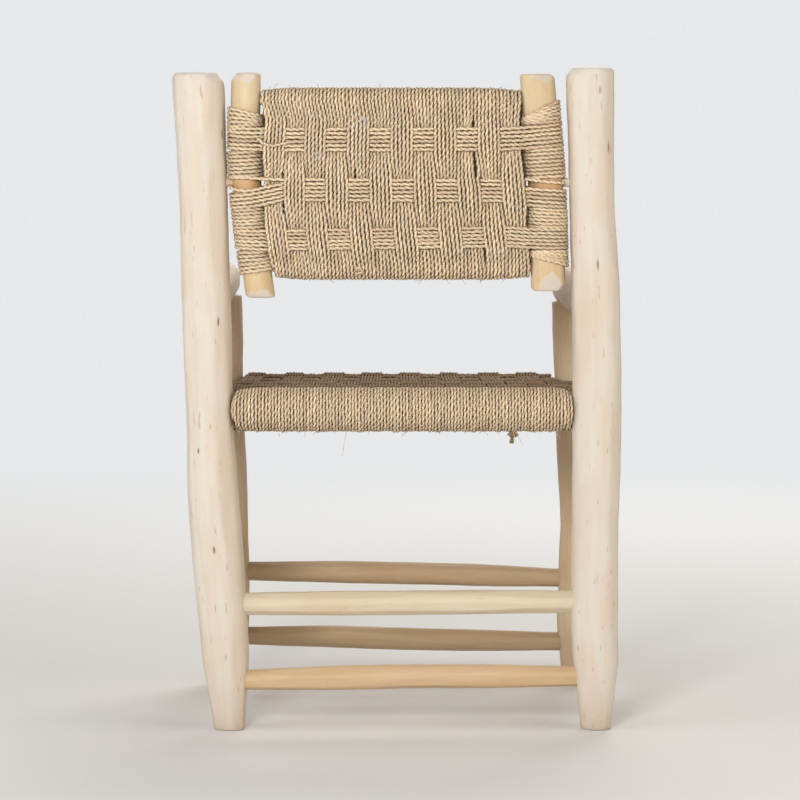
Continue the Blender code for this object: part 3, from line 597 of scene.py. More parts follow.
def give(piece, name, values):
    """Stores a value or a vector at each point of a piece, for its material."""
    kind, field = ("FLOAT", "value") if values.ndim == 1 else ("FLOAT_VECTOR", "vector")
    layer = piece.data.attributes.new(name, kind, "POINT")
    layer.data.foreach_set(field, values.astype(np.float32).ravel())


def give_map(piece, corners):
    """Stores a flat map named OFBake for the piece's pattern, one place per face corner."""
    layer = piece.data.uv_layers.new(name="OFBake")
    layer.data.foreach_set("uv", corners.astype(np.float32).ravel())


def belongs(piece, body, nodes):
    """Puts a finished piece on its body, in place of its CAD nodes."""
    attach(piece, body)
    if nodes:
        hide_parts(*nodes)


def grid_quads(rows, columns, first=0):
    """Quads of a tube's points, row by row, closed round each row."""
    row, column = np.meshgrid(np.arange(rows - 1), np.arange(columns), indexing="ij")
    following = (column + 1) % columns
    corners = (row * columns + column, row * columns + following)
    uppers = ((row + 1) * columns + following, (row + 1) * columns + column)
    return first + np.stack((*corners, *uppers), axis=-1).reshape(-1, 4)


# Wood


class Carving:
    """How a branch was worked, and the marks on it.

    flats, flat_depth: number of long flats, and their depth as a share of the radius
    cuts: planes (angle, share of the radius left at the end, slope) that shape the high or low end
    trim: length cut off at each end
    square: length at each end that goes on straight before it is cut
    taper: how much the radius loses towards the ends, and from how far
    full: share by which thin stretches fill out to the thickest
    belly: share by which the underside hangs lower
    knots: (place, angle, length, width)
    stains: (place, half length, strength)
    flanks: sides darkened as painted shade (angle, half width, strength)
    """

    flats = 8
    flat_depth = 0.04
    cuts = {}
    trim = (0, 0)
    square = (0, 0)
    taper = (0.0, 1.0)
    full = 0.0
    belly = 0.0
    knots = ()
    stains = ()
    flanks = ()

    def __init__(self, **choices):
        vars(self).update(choices)


def branch(node, axis, body, kind, seed, **choices):
    """A whittled branch along a CAD stick: long drawknife flats, cut ends and knots."""
    carving = Carving(**choices)
    rng = np.random.default_rng(seed)
    angles = 2 * np.pi * np.arange(RING_SIDES) / RING_SIDES
    places, centres, radii = worked_line(Stick(node, axis), carving)
    girths, cut = whittled(rng, places, radii, angles, carving)
    knot = knotted(girths, places, radii, angles, carving.knots)
    points = closed_rings(centres, girths, angles, axis, carving.belly)
    rows = len(points)
    ends = [np.arange(RING_SIDES)[::-1], (rows - 1) * RING_SIDES + np.arange(RING_SIDES)]
    piece = new_mesh(f"{node}_wood", points.reshape(-1, 3), grid_quads(rows, RING_SIDES), ends, woods[kind])
    over_caps = ((len(CAP_RINGS), len(CAP_RINGS)), (0, 0))
    give(piece, "grain", grain_places(rng, points, angles, axis))
    give(piece, "knot", np.pad(knot, over_caps).ravel())
    give(piece, "cut", np.pad(cut, over_caps, constant_values=1.0).ravel())
    # Stains, and painted shade on the posts' sides
    give(piece, "stain", stained_and_shaded(points, angles, axis, carving).ravel())
    give(piece, "soil", np.exp(-np.maximum(points[:, :, Z], 0.0) / SOIL_HEIGHT).ravel())
    give_map(piece, tube_map(rows, RING_SIDES))
    belongs(piece, body, [node])


def worked_line(stick, carving):
    """Places along a trimmed stick, with its middle and radius at each."""
    start, end = stick.places[0] + carving.trim[0], stick.places[-1] - carving.trim[1]
    rows = max(int((end - start) / RING_STEP), LEAST_RINGS)
    places = np.linspace(start, end, rows)
    step = places[1] - places[0]
    first, last = stick.places[0] + carving.square[0], stick.places[-1] - carving.square[1]
    columns = [carried_on(stick.places, stick.centres[:, k], first, last) for k in range(3)]
    centres = np.array([np.interp(places, stick.places, column) for column in columns]).T
    centres[:, stick.axis] = places
    radii = np.interp(np.clip(places, first, last), stick.places, stick.radii)
    if rows * step > SMOOTHED_LENGTH:
        centres = np.array([smoothed(centres[:, k], step) for k in range(3)]).T
        radii = smoothed(radii, step)
    radii += carving.full * (radii.max() - radii)
    loss, run = carving.taper
    far = np.clip(np.minimum(places - places[0], places[-1] - places) / run, 0.0, 1.0)
    radii -= loss * (1.0 - far) ** 2
    return places, centres, radii


def knotted(girths, places, radii, angles, knots):
    """Swells the girths round each knot and sinks its core; gives how far each point belongs to a core."""
    shade = np.zeros(girths.shape)
    for place, angle, length, width in knots:
        turn = (angles - math.radians(angle) + np.pi) % (2 * np.pi) - np.pi
        around = turn[None, :] * radii[:, None] / width
        along = ((places - place) / length)[:, None]
        near = around**2 + along**2
        core = np.exp(-KNOT_CORE * near)
        shade = np.maximum(shade, core)
        girths += KNOT_SWELL * np.exp(-KNOT_RIM * near) - KNOT_DENT * core
    return shade


def closed_rings(centres, girths, angles, axis, belly):
    """Rings of points round a branch, with smaller ones over its two ends."""
    first, second = AXES[(axis + 1) % 3], AXES[(axis + 2) % 3]
    around = np.cos(angles)[:, None] * first + np.sin(angles)[:, None] * second
    around[:, Z] *= 1.0 + belly * np.clip(-around[:, Z], 0.0, 1.0)
    rings = centres[:, None, :] + girths[:, :, None] * around[None, :, :]
    lows = [end_ring(rings[0], share, -rise * AXES[axis]) for share, rise in CAP_RINGS[::-1]]
    highs = [end_ring(rings[-1], share, rise * AXES[axis]) for share, rise in CAP_RINGS]
    return np.concatenate((lows, rings, highs))


def grain_places(rng, points, angles, axis):
    """Coordinates for the pattern of the wood, the third of them along the branch."""
    drift = WOOD_PATTERN * rng.random()
    spread = np.linalg.norm(points - points.mean(axis=1, keepdims=True), axis=2)
    sideways = spread * np.cos(angles)
    upward = spread * np.sin(angles) + drift
    return np.stack((sideways, upward, points[:, :, axis] + drift), axis=-1).reshape(-1, 3)


def stained_and_shaded(points, angles, axis, carving):
    """How far each point is marked by stains, or darkened on a side as painted shade."""
    stain = np.zeros(points.shape[:2])
    for place, half, strength in carving.stains:
        stain = np.maximum(stain, strength * np.exp(-(((points[:, :, axis] - place) / half) ** 2)))
    for angle, half, strength in carving.flanks:
        turn = (np.degrees(angles) - angle + 180.0) % 360.0 - 180.0
        stain = np.maximum(stain, strength * np.exp(-((turn / half) ** 2))[None, :])
    return stain


def carried_on(places, values, first, last):
    """Values along a stick, with those past its first and last sound place carried on straight."""
    sound = (places >= first) & (places <= last)
    result = np.interp(places, places[sound], values[sound])
    for past, near in ((places < first, places < first + END_RUN), (places > last, places > last - END_RUN)):
        if past.any():
            slope, base = np.polyfit(places[sound & near], values[sound & near], 1)
            result[past] = base + slope * places[past]
    return result


def end_ring(ring, share, rise):
    """A smaller ring inside a stick's end, for its slightly domed end face."""
    middle = ring.mean(axis=0)
    return middle + (ring - middle) * share + rise


def whittled(rng, places, radii, angles, carving):
    """Girth of a branch at each place and angle, and how far an end cut makes it."""
    limits = [np.ones((len(places), len(angles)))]
    for index in range(carving.flats):
        angle = 2 * np.pi * (index + FLAT_JITTER * (rng.random() - 0.5)) / carving.flats
        lengths = [least + further * rng.random() for least, further in STROKE_WAVES]
        stroke = 0.5 + 0.5 * waves(rng, places, lengths)
        left = 1.0 - carving.flat_depth * np.clip(stroke, 0.0, DEEPEST_STROKE)
        limits.append(plane_limit(angles, angle, left))
    body = soft_least(limits)
    body /= body.mean()
    ends = [np.full(body.shape, FAR_OFF)]
    for end, planes in carving.cuts.items():
        far = places - places[0] if end == "low" else places[-1] - places
        for angle, share, slope in planes:
            ends.append(plane_limit(angles, math.radians(angle), share + far * slope / radii))
    girth = soft_least([body, *ends])
    cut = np.clip((body - np.min(ends, axis=0)) / CUT_EDGE + 0.5, 0.0, 1.0)
    lumps = LUMPS * np.outer(waves(rng, places, LUMP_WAVES), np.ones(len(angles)))
    return radii[:, None] * (girth + lumps), cut


def plane_limit(angles, angle, left):
    """How far each angle reaches before a plane that leaves this share of the radius."""
    facing = np.cos(angles - angle)
    reach = np.where(facing > GRAZING, 1.0 / np.maximum(facing, GRAZING), FAR_OFF)
    return left[:, None] * reach[None, :]


def soft_least(limits):
    """The least of several girths, with the edges between them slightly rounded."""
    return np.sum([limit ** -FLAT_SHARPNESS for limit in limits], axis=0) ** (-1.0 / FLAT_SHARPNESS)


def tube_map(rows, columns):
    """Flat map of a tube: round it to the right, along it upward; the end caps shrink to its rims."""
    row, column = np.meshgrid(np.arange(rows - 1), np.arange(columns), indexing="ij")
    right = np.stack((column, column + 1, column + 1, column), axis=-1) / columns
    up = np.stack((row, row, row + 1, row + 1), axis=-1) / (rows - 1)
    quads = np.stack((right, up), axis=-1).reshape(-1, 2)
    around = np.arange(columns) / columns
    low = np.stack((around, np.zeros(columns)), axis=1)
    high = np.stack((around, np.ones(columns)), axis=1)
    return np.concatenate((quads, low[::-1], high))


# Rope


def rope(name, paths, across, body, nodes, seed, diameter=ROPE_DIAMETER, used=None, crevice=CREVICE_SHADE):
    """Twisted rope along several paths, each square to one direction, as one piece.

    used tells how far each point is browned: by use, and on the seat's top also as painted shade.
    """
    rng = np.random.default_rng(seed)
    angles = np.radians([angle for angle, reach in SECTION])
    reaches = np.array([reach for angle, reach in SECTION])
    sides = len(SECTION)
    strips = [max(math.ceil(path_length(path) / MAP_ROW), 1) for path in paths]
    points, coordinates, groove_shades, quads, caps, maps = [], [], [], [], [], []
    first = 0
    for index, path in enumerate(paths):
        centres, lengths = resampled(path)
        rings, aside = twisted(rng, centres, lengths, across, diameter, angles, reaches)
        count = len(rings)
        points.append(rings.reshape(-1, 3))
        strand = np.empty((count, sides, 3))
        strand[:, :, 0] = lengths[:, None] + ROPE_PATTERN * rng.random()
        strand[:, :, 1] = np.cos(angles)
        strand[:, :, 2] = np.sin(angles)
        coordinates.append(strand.reshape(-1, 3))
        between_strands = (1.0 - reaches) / (1.0 - reaches.min())
        # Painted shade: dark between the strands and on the sides that face the neighbouring ropes
        groove_shades.append(np.maximum(STRAND_CREVICE_SHADE * between_strands[None, :], crevice * aside**2).ravel())
        quads.append(grid_quads(count, sides, first))
        caps += [first + np.arange(sides)[::-1], first + (count - 1) * sides + np.arange(sides)]
        maps.append(rope_map(count, sides, sum(strips[:index]), strips[index], sum(strips)))
        first += count * sides
    piece = new_mesh(name, np.concatenate(points), np.concatenate(quads), caps, straw)
    give(piece, "strand", np.concatenate(coordinates))
    give(piece, "groove", np.concatenate(groove_shades))
    # Browning by use, and on the seat's top partly painted shade
    give(piece, "used", used(np.concatenate(points)) if used else np.zeros(first))
    rims = np.zeros((sides * len(caps), 2))
    give_map(piece, np.concatenate((*maps, rims)))
    belongs(piece, body, nodes)


def twisted(rng, centres, lengths, across, diameter, angles, reaches):
    """Rings of points round a rope's middle line, turning with its twist, and how far each point faces aside.

    The rope wanders and swells a little, so no two stretches are quite alike.
    """
    forward = np.gradient(centres, axis=0)
    forward /= np.linalg.norm(forward, axis=1, keepdims=True)
    sideways = across - forward * (forward @ across)[:, None]
    sideways /= np.linalg.norm(sideways, axis=1, keepdims=True)
    upward = np.cross(forward, sideways)
    for direction in (sideways, upward):
        centres = centres + ROPE_WANDER * waves(rng, lengths, WANDER_WAVES)[:, None] * direction
    size = ROPE_FULLNESS * diameter / 2 * (1 + ROPE_UNEVEN * waves(rng, lengths, UNEVEN_WAVES))
    flutter = TWIST_FLUTTER * waves(rng, lengths, FLUTTER_WAVES)
    drift = flutter + TWIST_DRIFT * waves(rng, lengths, DRIFT_WAVES)
    twist = 2 * np.pi * (lengths / ROPE_TWIST + drift + rng.random())
    turn = twist[:, None] + angles[None, :]
    reach = size[:, None] * reaches[None, :]
    rings = (reach * np.cos(turn))[:, :, None] * sideways[:, None, :]
    rings += (reach * np.sin(turn))[:, :, None] * upward[:, None, :]
    return centres[:, None, :] + rings, np.abs(np.cos(turn))


def path_length(path):
    """Length of a path through its points."""
    return np.linalg.norm(np.diff(path, axis=0), axis=1).sum()


def resampled(path):
    """Points at even steps along a path, and their distances from its start."""
    reach = np.concatenate(([0.0], np.cumsum(np.linalg.norm(np.diff(path, axis=0), axis=1))))
    lengths = np.linspace(0.0, reach[-1], max(int(reach[-1] / ROPE_STEP), LEAST_ROPE_POINTS))
    return np.array([np.interp(lengths, reach, path[:, k]) for k in range(3)]).T, lengths


def rope_map(count, sides, first_row, used, rows):
    """Flat map of one rope: cut into rows that lie above each other, its girth up each row."""
    section, side = np.meshgrid(np.arange(count - 1), np.arange(sides), indexing="ij")
    per_row = math.ceil((count - 1) / used)
    row = first_row + section // per_row
    start = (section % per_row) / per_row
    finish = start + 1.0 / per_row
    low = (row + MAP_ROW_FILL * side / sides) / rows
    high = (row + MAP_ROW_FILL * (side + 1) / sides) / rows
    right = np.stack((start, start, finish, finish), axis=-1)
    up = np.stack((low, high, high, low), axis=-1)
    return np.stack((right, up), axis=-1).reshape(-1, 2)


def arc(centre, radius, start, turn, count=RAIL_STEPS):
    """Points of an arc in a plane, from a start angle in degrees and through a turn in degrees."""
    angles = np.radians(start + turn * np.arange(count + 1) / count)
    return np.stack((centre[0] + radius * np.cos(angles), centre[1] + radius * np.sin(angles)), axis=1)


def wisp(rng, place, direction, length, curl=WISP_CURL):
    """A short stray straw from a place, bending away from its direction."""
    along = np.linspace(0.0, length, STRAW_POINTS)[:, None]
    bend = rng.normal(0.0, curl, 3)
    return np.array(place) + along * np.array(direction) + along**2 / length * bend


class BackWeb:
    """The woven panel between the two stiles: where its ropes run."""

    def __init__(self):
        self.left = Stick("back_stile_left", Z)
        self.right = Stick("back_stile_right", Z)
        self.ropes = BACK_ROPES
        low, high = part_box("back_rail_top")
        self.top = (low[Z] + high[Z]) / 2
        self.rail = (high[Z] - low[Z]) / 2 + ROPE_RADIUS
        low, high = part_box("back_rail_bottom")
        self.bottom = (low[Z] + high[Z]) / 2

    def edges(self, height):
        """Left and right end of the woven part at a height."""
        left, left_radius = self.left.at(height)
        right, right_radius = self.right.at(height)
        width, middle, half = RIGHT_SLACK
        slack = width * math.exp(-(((height - pivot[Z] - middle) / half) ** 4))
        return left[X] + left_radius + EDGE_GAP, right[X] - right_radius - EDGE_GAP - slack

    def place(self, rope_index, height, rear=False):
        """Where an upright rope crosses a height; gaps have opened between those on the rear face."""
        left, right = self.edges(height)
        level = height - pivot[Z]
        if rear:
            left += looked_up(level, LEFT_PUSHES)
            right -= looked_up(level, RIGHT_PUSHES)
        share = (rope_index + 0.5) / self.ropes
        lean = looked_up(level, BAND_LEANS) * looked_up(share, LEAN_SHARES)
        x = left + (right - left) * share - lean
        for gap, middle, half, width in SLITS if rear else ():
            push = 0.5 * width * math.exp(-(((level - middle) / half) ** 4))
            apart = rope_index - gap + 0.5
            x += math.copysign(push * math.exp(-abs(apart) / SLIT_REACH), apart)
        return x

    def depth(self, x):
        """How far the middle of the weave lies from the panel's plane."""
        left, left_radius = self.left.at(pivot[Z])
        right, right_radius = self.right.at(pivot[Z])
        share = (x - left[X]) / (right[X] - left[X])
        return left_radius + (right_radius - left_radius) * share + ROPE_RADIUS

    def rail_reach(self, x):
        """How far from a rail's middle its rope lies; the rails thin towards their ends."""
        left, right = self.edges(self.top)
        far = np.clip(min(x - left, right - x) / RAIL_END_REACH, 0.0, 1.0)
        return self.rail - RAIL_END_TAPER * (1.0 - far) ** 2

    def weft_stops(self, index):
        """Places across the panel at which a cross band's heights are given."""
        left, right = self.edges(pivot[Z] + BACK_WEFTS[index][1][2])
        band = (right - left) / BACK_BANDS
        outer_left = self.left.at(pivot[Z])[0][X] - LEFT_STILE_REACH
        outer_right = self.right.at(pivot[Z])[0][X] + RIGHT_STILE_REACH
        return outer_left, left, left + band, right - band, right, outer_right

    def weft_height(self, index, x):
        """Height of a cross band's middle at a place across the panel."""
        return pivot[Z] + np.interp(x, self.weft_stops(index), BACK_WEFTS[index][1])

    def weft_rope_height(self, index, rope_index, x):
        """Height of one rope of a cross band, counted from its top, at a place across the panel."""
        shift = ((WEFT_ROPES - 1) / 2 - rope_index) * BACK_WEFTS[index][0]
        if index == STRAY_BAND:
            shift = shift + max(1.0 - rope_index, 0.0) * np.interp(x, self.weft_stops(index), STRAY_RISES)
        return self.weft_height(index, x) + shift

    def band_edge(self, group, height, rear=False):
        """Where the ropes of one upright band end and those of the next begin."""
        return self.place(group * self.ropes / BACK_BANDS - 0.5, height, rear)

    def warp_run(self, rope_index):
        """Heights up the panel, the rope's distance from the panel's plane at each and its shift in its band.

        A band spreads where it lies over a cross band and draws in where it lies under one.
        """
        group = rope_index * BACK_BANDS // self.ropes
        off_middle = 2.0 * ((rope_index + 0.5) * BACK_BANDS / self.ropes - group) - 1.0
        x = self.place(rope_index, pivot[Z])
        rail = self.rail_reach(x)
        stops = [(self.bottom - LEAD, self.bottom, rail)]
        spreads = [(self.bottom - LEAD, self.bottom, 0.0)]
        for index in reversed(range(len(BACK_WEFTS))):
            height = self.weft_height(index, x)
            over = 1 if (group + index) % 2 == 0 else -1
            flat = height - WEFT_PLATEAU, height + WEFT_PLATEAU
            stops.append((*flat, self.depth(x) + over * BACK_WEAVE))
            spreads.append((*flat, over * WARP_SPREAD * off_middle))
        stops.append((self.top, self.top + LEAD, rail))
        spreads.append((self.top, self.top + LEAD, 0.0))
        heights = np.linspace(self.bottom, self.top, BACK_WARP_POINTS)
        return heights, eased(heights, stops), eased(heights, spreads), rail

    def warp(self, ropes):
        """One long path through several upright ropes, moving on half a rope over each rail."""
        path = []
        for index in ropes:
            heights, depths, shifts, rail = self.warp_run(index)
            over = arc((pivot[Y], self.top), rail, 180, -180)
            under = arc((pivot[Y], self.bottom), rail, 0, -180)
            steps = np.linspace(0.0, 0.5, len(over))
            rear = [self.place(index, z, rear=True) for z in heights] + shifts
            path += list(zip(rear, pivot[Y] - depths, heights))
            path += [(self.place(index + step, z), y, z) for step, (y, z) in zip(steps, over)]
            front = [self.place(index + 0.5, z) for z in heights] + shifts
            path += list(zip(front, pivot[Y] + depths, heights))[::-1]
            if index < self.ropes - 1:
                path += [(self.place(index + 0.5 + step, z), y, z) for step, (y, z) in zip(steps, under)]
        return np.array(path)

    def weft(self, index):
        """One long path through the ropes of a cross band, moving on round the left stile."""
        path = self.stile_turn(index, 0, self.left, *WEFT_START)
        for rope_index in range(WEFT_ROPES):
            path += self.weft_run(index, rope_index, -1)
            path += self.stile_turn(index, rope_index, self.right, 270, 180)
            front = self.weft_run(index, rope_index, 1)
            if rope_index < WEFT_ROPES - 1:
                path += front + self.stile_turn(index, rope_index, self.left, 90, 180, moves_on=1.0)
            else:
                hidden = self.band_edge(index % 2 + 0.5, pivot[Z])
                path += [point for point in front if point[0] > hidden]
        return np.array(path)

    def weft_run(self, index, rope_index, face):
        """A rope of a cross band along the rear (-1) or front (1) face; the front one runs leftward."""
        level = self.weft_rope_height(index, rope_index, 0.0)
        edges = [self.band_edge(group, level, rear=face < 0) for group in range(BACK_BANDS + 1)]
        left, right = self.left.at(level)[0][X], self.right.at(level)[0][X]
        stops = [(left - LEAD, edges[0] - WEFT_REST, 0.0)]
        for group in range(BACK_BANDS):
            over = -1 if (group + index) % 2 == 0 else 1
            stops.append((edges[group] + WEFT_BEND, edges[group + 1] - WEFT_BEND, over * BACK_WEAVE))
        stops.append((edges[-1] + WEFT_REST, right + LEAD, 0.0))
        across = np.linspace(left, right, BACK_WEFT_POINTS)
        depths = self.depth(across) + eased(across, stops)
        run = list(zip(across, pivot[Y] + face * depths, self.weft_rope_height(index, rope_index, across)))
        return run if face < 0 else run[::-1]

    def stile_turn(self, index, rope_index, stile, start, turn, moves_on=0.0):
        """A rope of a cross band on its way round a stile, where it may move on to the next rope's place."""
        centre, radius = stile.at(self.weft_rope_height(index, rope_index, stile.at(pivot[Z])[0][X]))
        bend = arc((centre[X], centre[Y]), radius + ROPE_RADIUS, start, turn, STILE_STEPS)
        ropes = rope_index + np.linspace(0.0, moves_on, len(bend))
        return [(x, y, self.weft_rope_height(index, place, x)) for (x, y), place in zip(bend, ropes)]

    def winding(self, side, turns, inner, outer):
        """A rope wound round a stile, from front to front, with the heights its turns have on either side."""
        stile = self.left if side == "left" else self.right
        inward = 1 if side == "left" else -1
        path = []
        for angle in np.linspace(90.0, 90.0 + 360.0 * turns, turns * WINDING_STEPS + 1):
            share = (angle - 270.0) / (360.0 * (turns - 1))
            near = inner[0] + (inner[1] - inner[0]) * share
            far = outer[0] + (outer[1] - outer[0]) * share
            outward = (1 - math.cos(math.radians(angle))) / 2
            height = pivot[Z] + near + (far - near) * outward
            centre, radius = stile.at(height)
            reach = radius + WINDING_DIAMETER / 2
            x = centre[X] + inward * reach * math.cos(math.radians(angle))
            path.append((x, centre[Y] + reach * math.sin(math.radians(angle)), height))
        return np.array(path)

    def skin(self, x):
        """How far from the panel's plane a rope lies that crosses the rear face on top of all others."""
        for stile in (self.left, self.right):
            centre, radius = stile.at(pivot[Z])
            if abs(x - centre[X]) < OVER_STILE * radius:
                return math.sqrt((radius + ROPE_RADIUS) ** 2 - (x - centre[X]) ** 2)
        return self.depth(x) + BACK_WEAVE + ON_TOP * ROPE_DIAMETER

    def loose(self, course):
        """A rope off its course over the rear face, through these places and heights, its ends tucked in."""
        places, heights = np.array(course).T
        across = np.linspace(places[0], places[-1], LOOSE_POINTS)
        depths = evened([self.skin(x) for x in across], DEPTH_EVENING)
        from_end = np.minimum(across - across[0], across[-1] - across)
        depths -= TUCK * np.clip(1.0 - from_end / TUCK_LENGTH, 0.0, 1.0)
        lifts = evened(np.interp(across, places, heights), HEIGHT_EVENING)
        return np.stack((across, pivot[Y] - depths, pivot[Z] + lifts), axis=1)

    def small_loop(self):
        """A small loop of rope that stands off the rear face."""
        x, lift, radius, start, turn = SMALL_LOOP
        bend = arc((x, pivot[Z] + lift), radius, start, turn)
        return np.array([(u, pivot[Y] - self.skin(u) + LOOP_SINK, w) for u, w in bend])

    def wisps(self):
        """Short straws that stand off the rope on the upper and lower edge."""
        rng = np.random.default_rng(142)
        paths = []
        for x in rng.uniform(*self.edges(self.top), WHISKERS):
            height, up = (self.top, 1.0) if rng.random() < 0.5 else (self.bottom, -1.0)
            angle = rng.uniform(*BACK_WHISKER_ANGLES)
            outward = (rng.normal(0.0, WHISKER_LEAN), math.sin(angle), up * math.cos(angle))
            start = (x, pivot[Y] + self.rail * math.sin(angle), height + up * self.rail * math.cos(angle))
            paths.append(wisp(rng, start, outward, rng.uniform(*BACK_WHISKER_LENGTHS)))
        return paths


class SeatWeb:
    """The woven seat: where its ropes run."""

    def __init__(self):
        self.rails = {side: Stick(f"seat_rail_{side}", X) for side in ("rear", "front")}
        self.sides = {side: Stick(f"seat_rail_{side}", Y) for side in SIDES}
        self.span = [self.rails[side].at(0.0)[0][Y] for side in ("rear", "front")]
        self.ropes = SEAT_ROPES
        low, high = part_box("seat_weft")
        half_band = WEFT_ROPES * ROPE_PITCH / 2
        self.wefts = np.linspace(low[Y] + half_band, high[Y] - half_band, SEAT_WEFTS)
        centre, radius = self.sides["left"].at(0.0)
        self.top = centre[Z] + radius + ROPE_RADIUS
        self.under = centre[Z] - radius - ROPE_RADIUS
        rng = np.random.default_rng(LOOSE_SEED)
        self.slack = SEAT_LOOSE * (LOOSE_BASE + waves(rng, np.arange(self.ropes + 1), LOOSE_WAVES))

    def place(self, rope_index, y):
        """Where a long rope lies across the seat, spread out a little between the rear and the front rail."""
        rear, front = self.span
        ends = [np.interp(y, self.span, pair) for pair in zip(SEAT_REAR_ENDS, SEAT_FRONT_ENDS)]
        spread = SEAT_SPREAD * math.sin(np.pi * np.clip((y - rear) / (front - rear), 0.0, 1.0))
        share = (rope_index + 0.5) / self.ropes
        bulge = looked_up(share, SEAT_END_BULGES) * np.clip((rear - y) / SEAT_BULGE_DEPTH, 0.0, 1.0)
        return ends[0] + (ends[1] - ends[0]) * share + spread * (2.0 * share - 1.0) + bulge

    def roll(self, side, x):
        """Middle and radius of a long rope's turn round the rear or front rail, fuller on top."""
        middle, radius = self.rails[side].at(x)
        half_crest = SEAT_CRESTS[side] / 2
        return np.array(middle) + (0.0, 0.0, half_crest), radius + ROPE_RADIUS + half_crest

    def band_edge(self, group, y):
        """Where one group of long ropes ends and the next begins."""
        return self.place(group * self.ropes / SEAT_BANDS - 0.5, y)

    def upper_stops(self, group, rear, front):
        """Heights of a long rope on top, from its place and height at the rear rail to those at the front."""
        stops = [(rear[0] - LEAD, *rear)]
        for weft, y in enumerate(self.wefts):
            over = 1 if (group + weft) % 2 else -1
            stops.append((y - WARP_PLATEAU, y + WARP_PLATEAU, self.top + SEAT_CROWN + over * SEAT_WEAVE))
        at_hem = self.rail_top(sum(SEAT_HEM) / 2) + (SEAT_HEM_UNDER if group % 2 else ROPE_DIAMETER)
        stops.append((*SEAT_HEM_SPAN, at_hem))
        stops.append((front[0] - FRONT_REST, front[0] + LEAD, front[1]))
        return stops

    def warp(self, ropes):
        """One long path through several long ropes, moving on under the seat."""
        path = []
        for index in ropes:
            group = index * SEAT_BANDS // self.ropes
            dip = SEAT_HEM_DIP if group % 2 else 0.0
            rear, rear_radius = self.roll("rear", self.place(index, self.span[0]))
            front, front_radius = self.roll("front", self.place(index, self.span[1]))
            rear_radius -= self.end_drop(self.place(index, rear[Y]))
            behind = arc((rear[Y], rear[Z]), rear_radius, -90, -180)
            behind[:, 1] -= self.slack[index] * np.linspace(1.0, 0.0, len(behind))
            before = arc((front[Y], front[Z]), front_radius, 90, -180)
            before[:, 1] -= dip * np.linspace(1.0, 0.0, len(before))
            along = np.linspace(rear[Y], front[Y], SEAT_WARP_POINTS)[1:-1]
            on_rear = rear[Y], rear[Z] + rear_radius
            on_front = front[Y], front[Z] + front_radius - dip
            upper = zip(along, eased(along, self.upper_stops(group, on_rear, on_front)))
            path += [(self.place(index, y), y, z) for y, z in (*behind, *upper, *before)]
            if index == self.ropes - 1:
                break
            stops = (
                (rear[Y] - LEAD, rear[Y], rear[Z] - rear_radius - self.slack[index + 1]),
                (self.wefts[0], self.wefts[-1], self.under + SEAT_UNDER_RISE + ROPE_DIAMETER),
                (front[Y], front[Y] + LEAD, front[Z] - front_radius),
            )
            below = zip(np.linspace(1.0, 0.0, len(along)), along, eased(along, stops))
            path += [(self.place(index + step, y), y, z) for step, y, z in below][::-1]
        return np.array(path)

    def end_drop(self, x):
        """How much closer to the rear rail's middle the rope lies next to the posts, where the rail thins."""
        from_left = (x - SEAT_REAR_ENDS[0]) / SEAT_END_REACHES[0]
        from_right = (SEAT_REAR_ENDS[1] - x) / SEAT_END_REACHES[1]
        return SEAT_END_DROP * np.clip(1.0 - min(from_left, from_right), 0.0, 1.0) ** 1.5

    def off_rail(self, x, root, at=0.0, lift=0.0):
        """A place on the rope of the rear rail, off the rail's middle by shares of the rope's distance."""
        rail, radius = self.rails["rear"].at(at)
        return np.array((x, rail[Y], rail[Z])) + (radius + ROPE_RADIUS + lift) * np.array(root)

    def tags(self):
        """The strands of a brown rope end that hangs below the rear rail."""
        start = self.off_rail(TUFT_PLACE, TAG_ROOT, at=TUFT_PLACE)
        runs = [(np.linspace(0.0, length, STRAW_POINTS)[:, None], lean) for lean, length in SEAT_TAGS]
        return [start + run * (lean, *TAG_FALL) for run, lean in runs]

    def wisps(self):
        """Straws that came loose round the rear rail: whiskers below, a tuft, a long one and a few on top."""
        rng = np.random.default_rng(141)
        paths = []
        for x in rng.uniform(*SEAT_REAR_ENDS, WHISKERS):
            angle = math.radians(rng.uniform(*SEAT_WHISKER_ANGLES))
            outward = (rng.normal(0.0, WHISKER_LEAN), math.cos(angle), math.sin(angle))
            start = self.off_rail(x, (0.0, *outward[1:]))
            paths.append(wisp(rng, start, outward, rng.uniform(*SEAT_WHISKER_LENGTHS)))
        for _ in range(TUFT):
            start = self.off_rail(TUFT_PLACE + rng.normal(0.0, TUFT_SPREAD), TUFT_ROOT)
            outward = (rng.normal(0.0, TUFT_LEAN), *TUFT_FALL)
            paths.append(wisp(rng, start, outward, rng.uniform(*TUFT_LENGTHS)))
        x, fall, length = LONG_STRAW
        paths.append(wisp(rng, self.off_rail(x, LONG_ROOT), fall, length))
        top = (0.0, math.cos(TOP_STRAW_ANGLE), math.sin(TOP_STRAW_ANGLE))
        for x in TOP_STRAWS:
            paths.append(wisp(rng, self.off_rail(x, top, lift=ROPE_RADIUS), *TOP_STRAW))
        return paths

    def worn_and_shaded_top(self, points):
        """How far points belong to the seat's upper side, browned partly by use and partly as painted shade.
        """
        inside = np.clip((points[:, Y] - self.span[0]) / WEAR_AND_SHADE_RUN, 0.0, 1.0)
        return inside * np.clip((points[:, Z] - self.top + WEAR_AND_SHADE_DEPTH) / ROPE_DIAMETER, 0.0, 1.0)

    def rail_top(self, y):
        """Height of a rope that lies on the front rail."""
        front, radius = self.roll("front", 0.0)
        return front[Z] + math.sqrt(radius**2 - (y - front[Y]) ** 2)

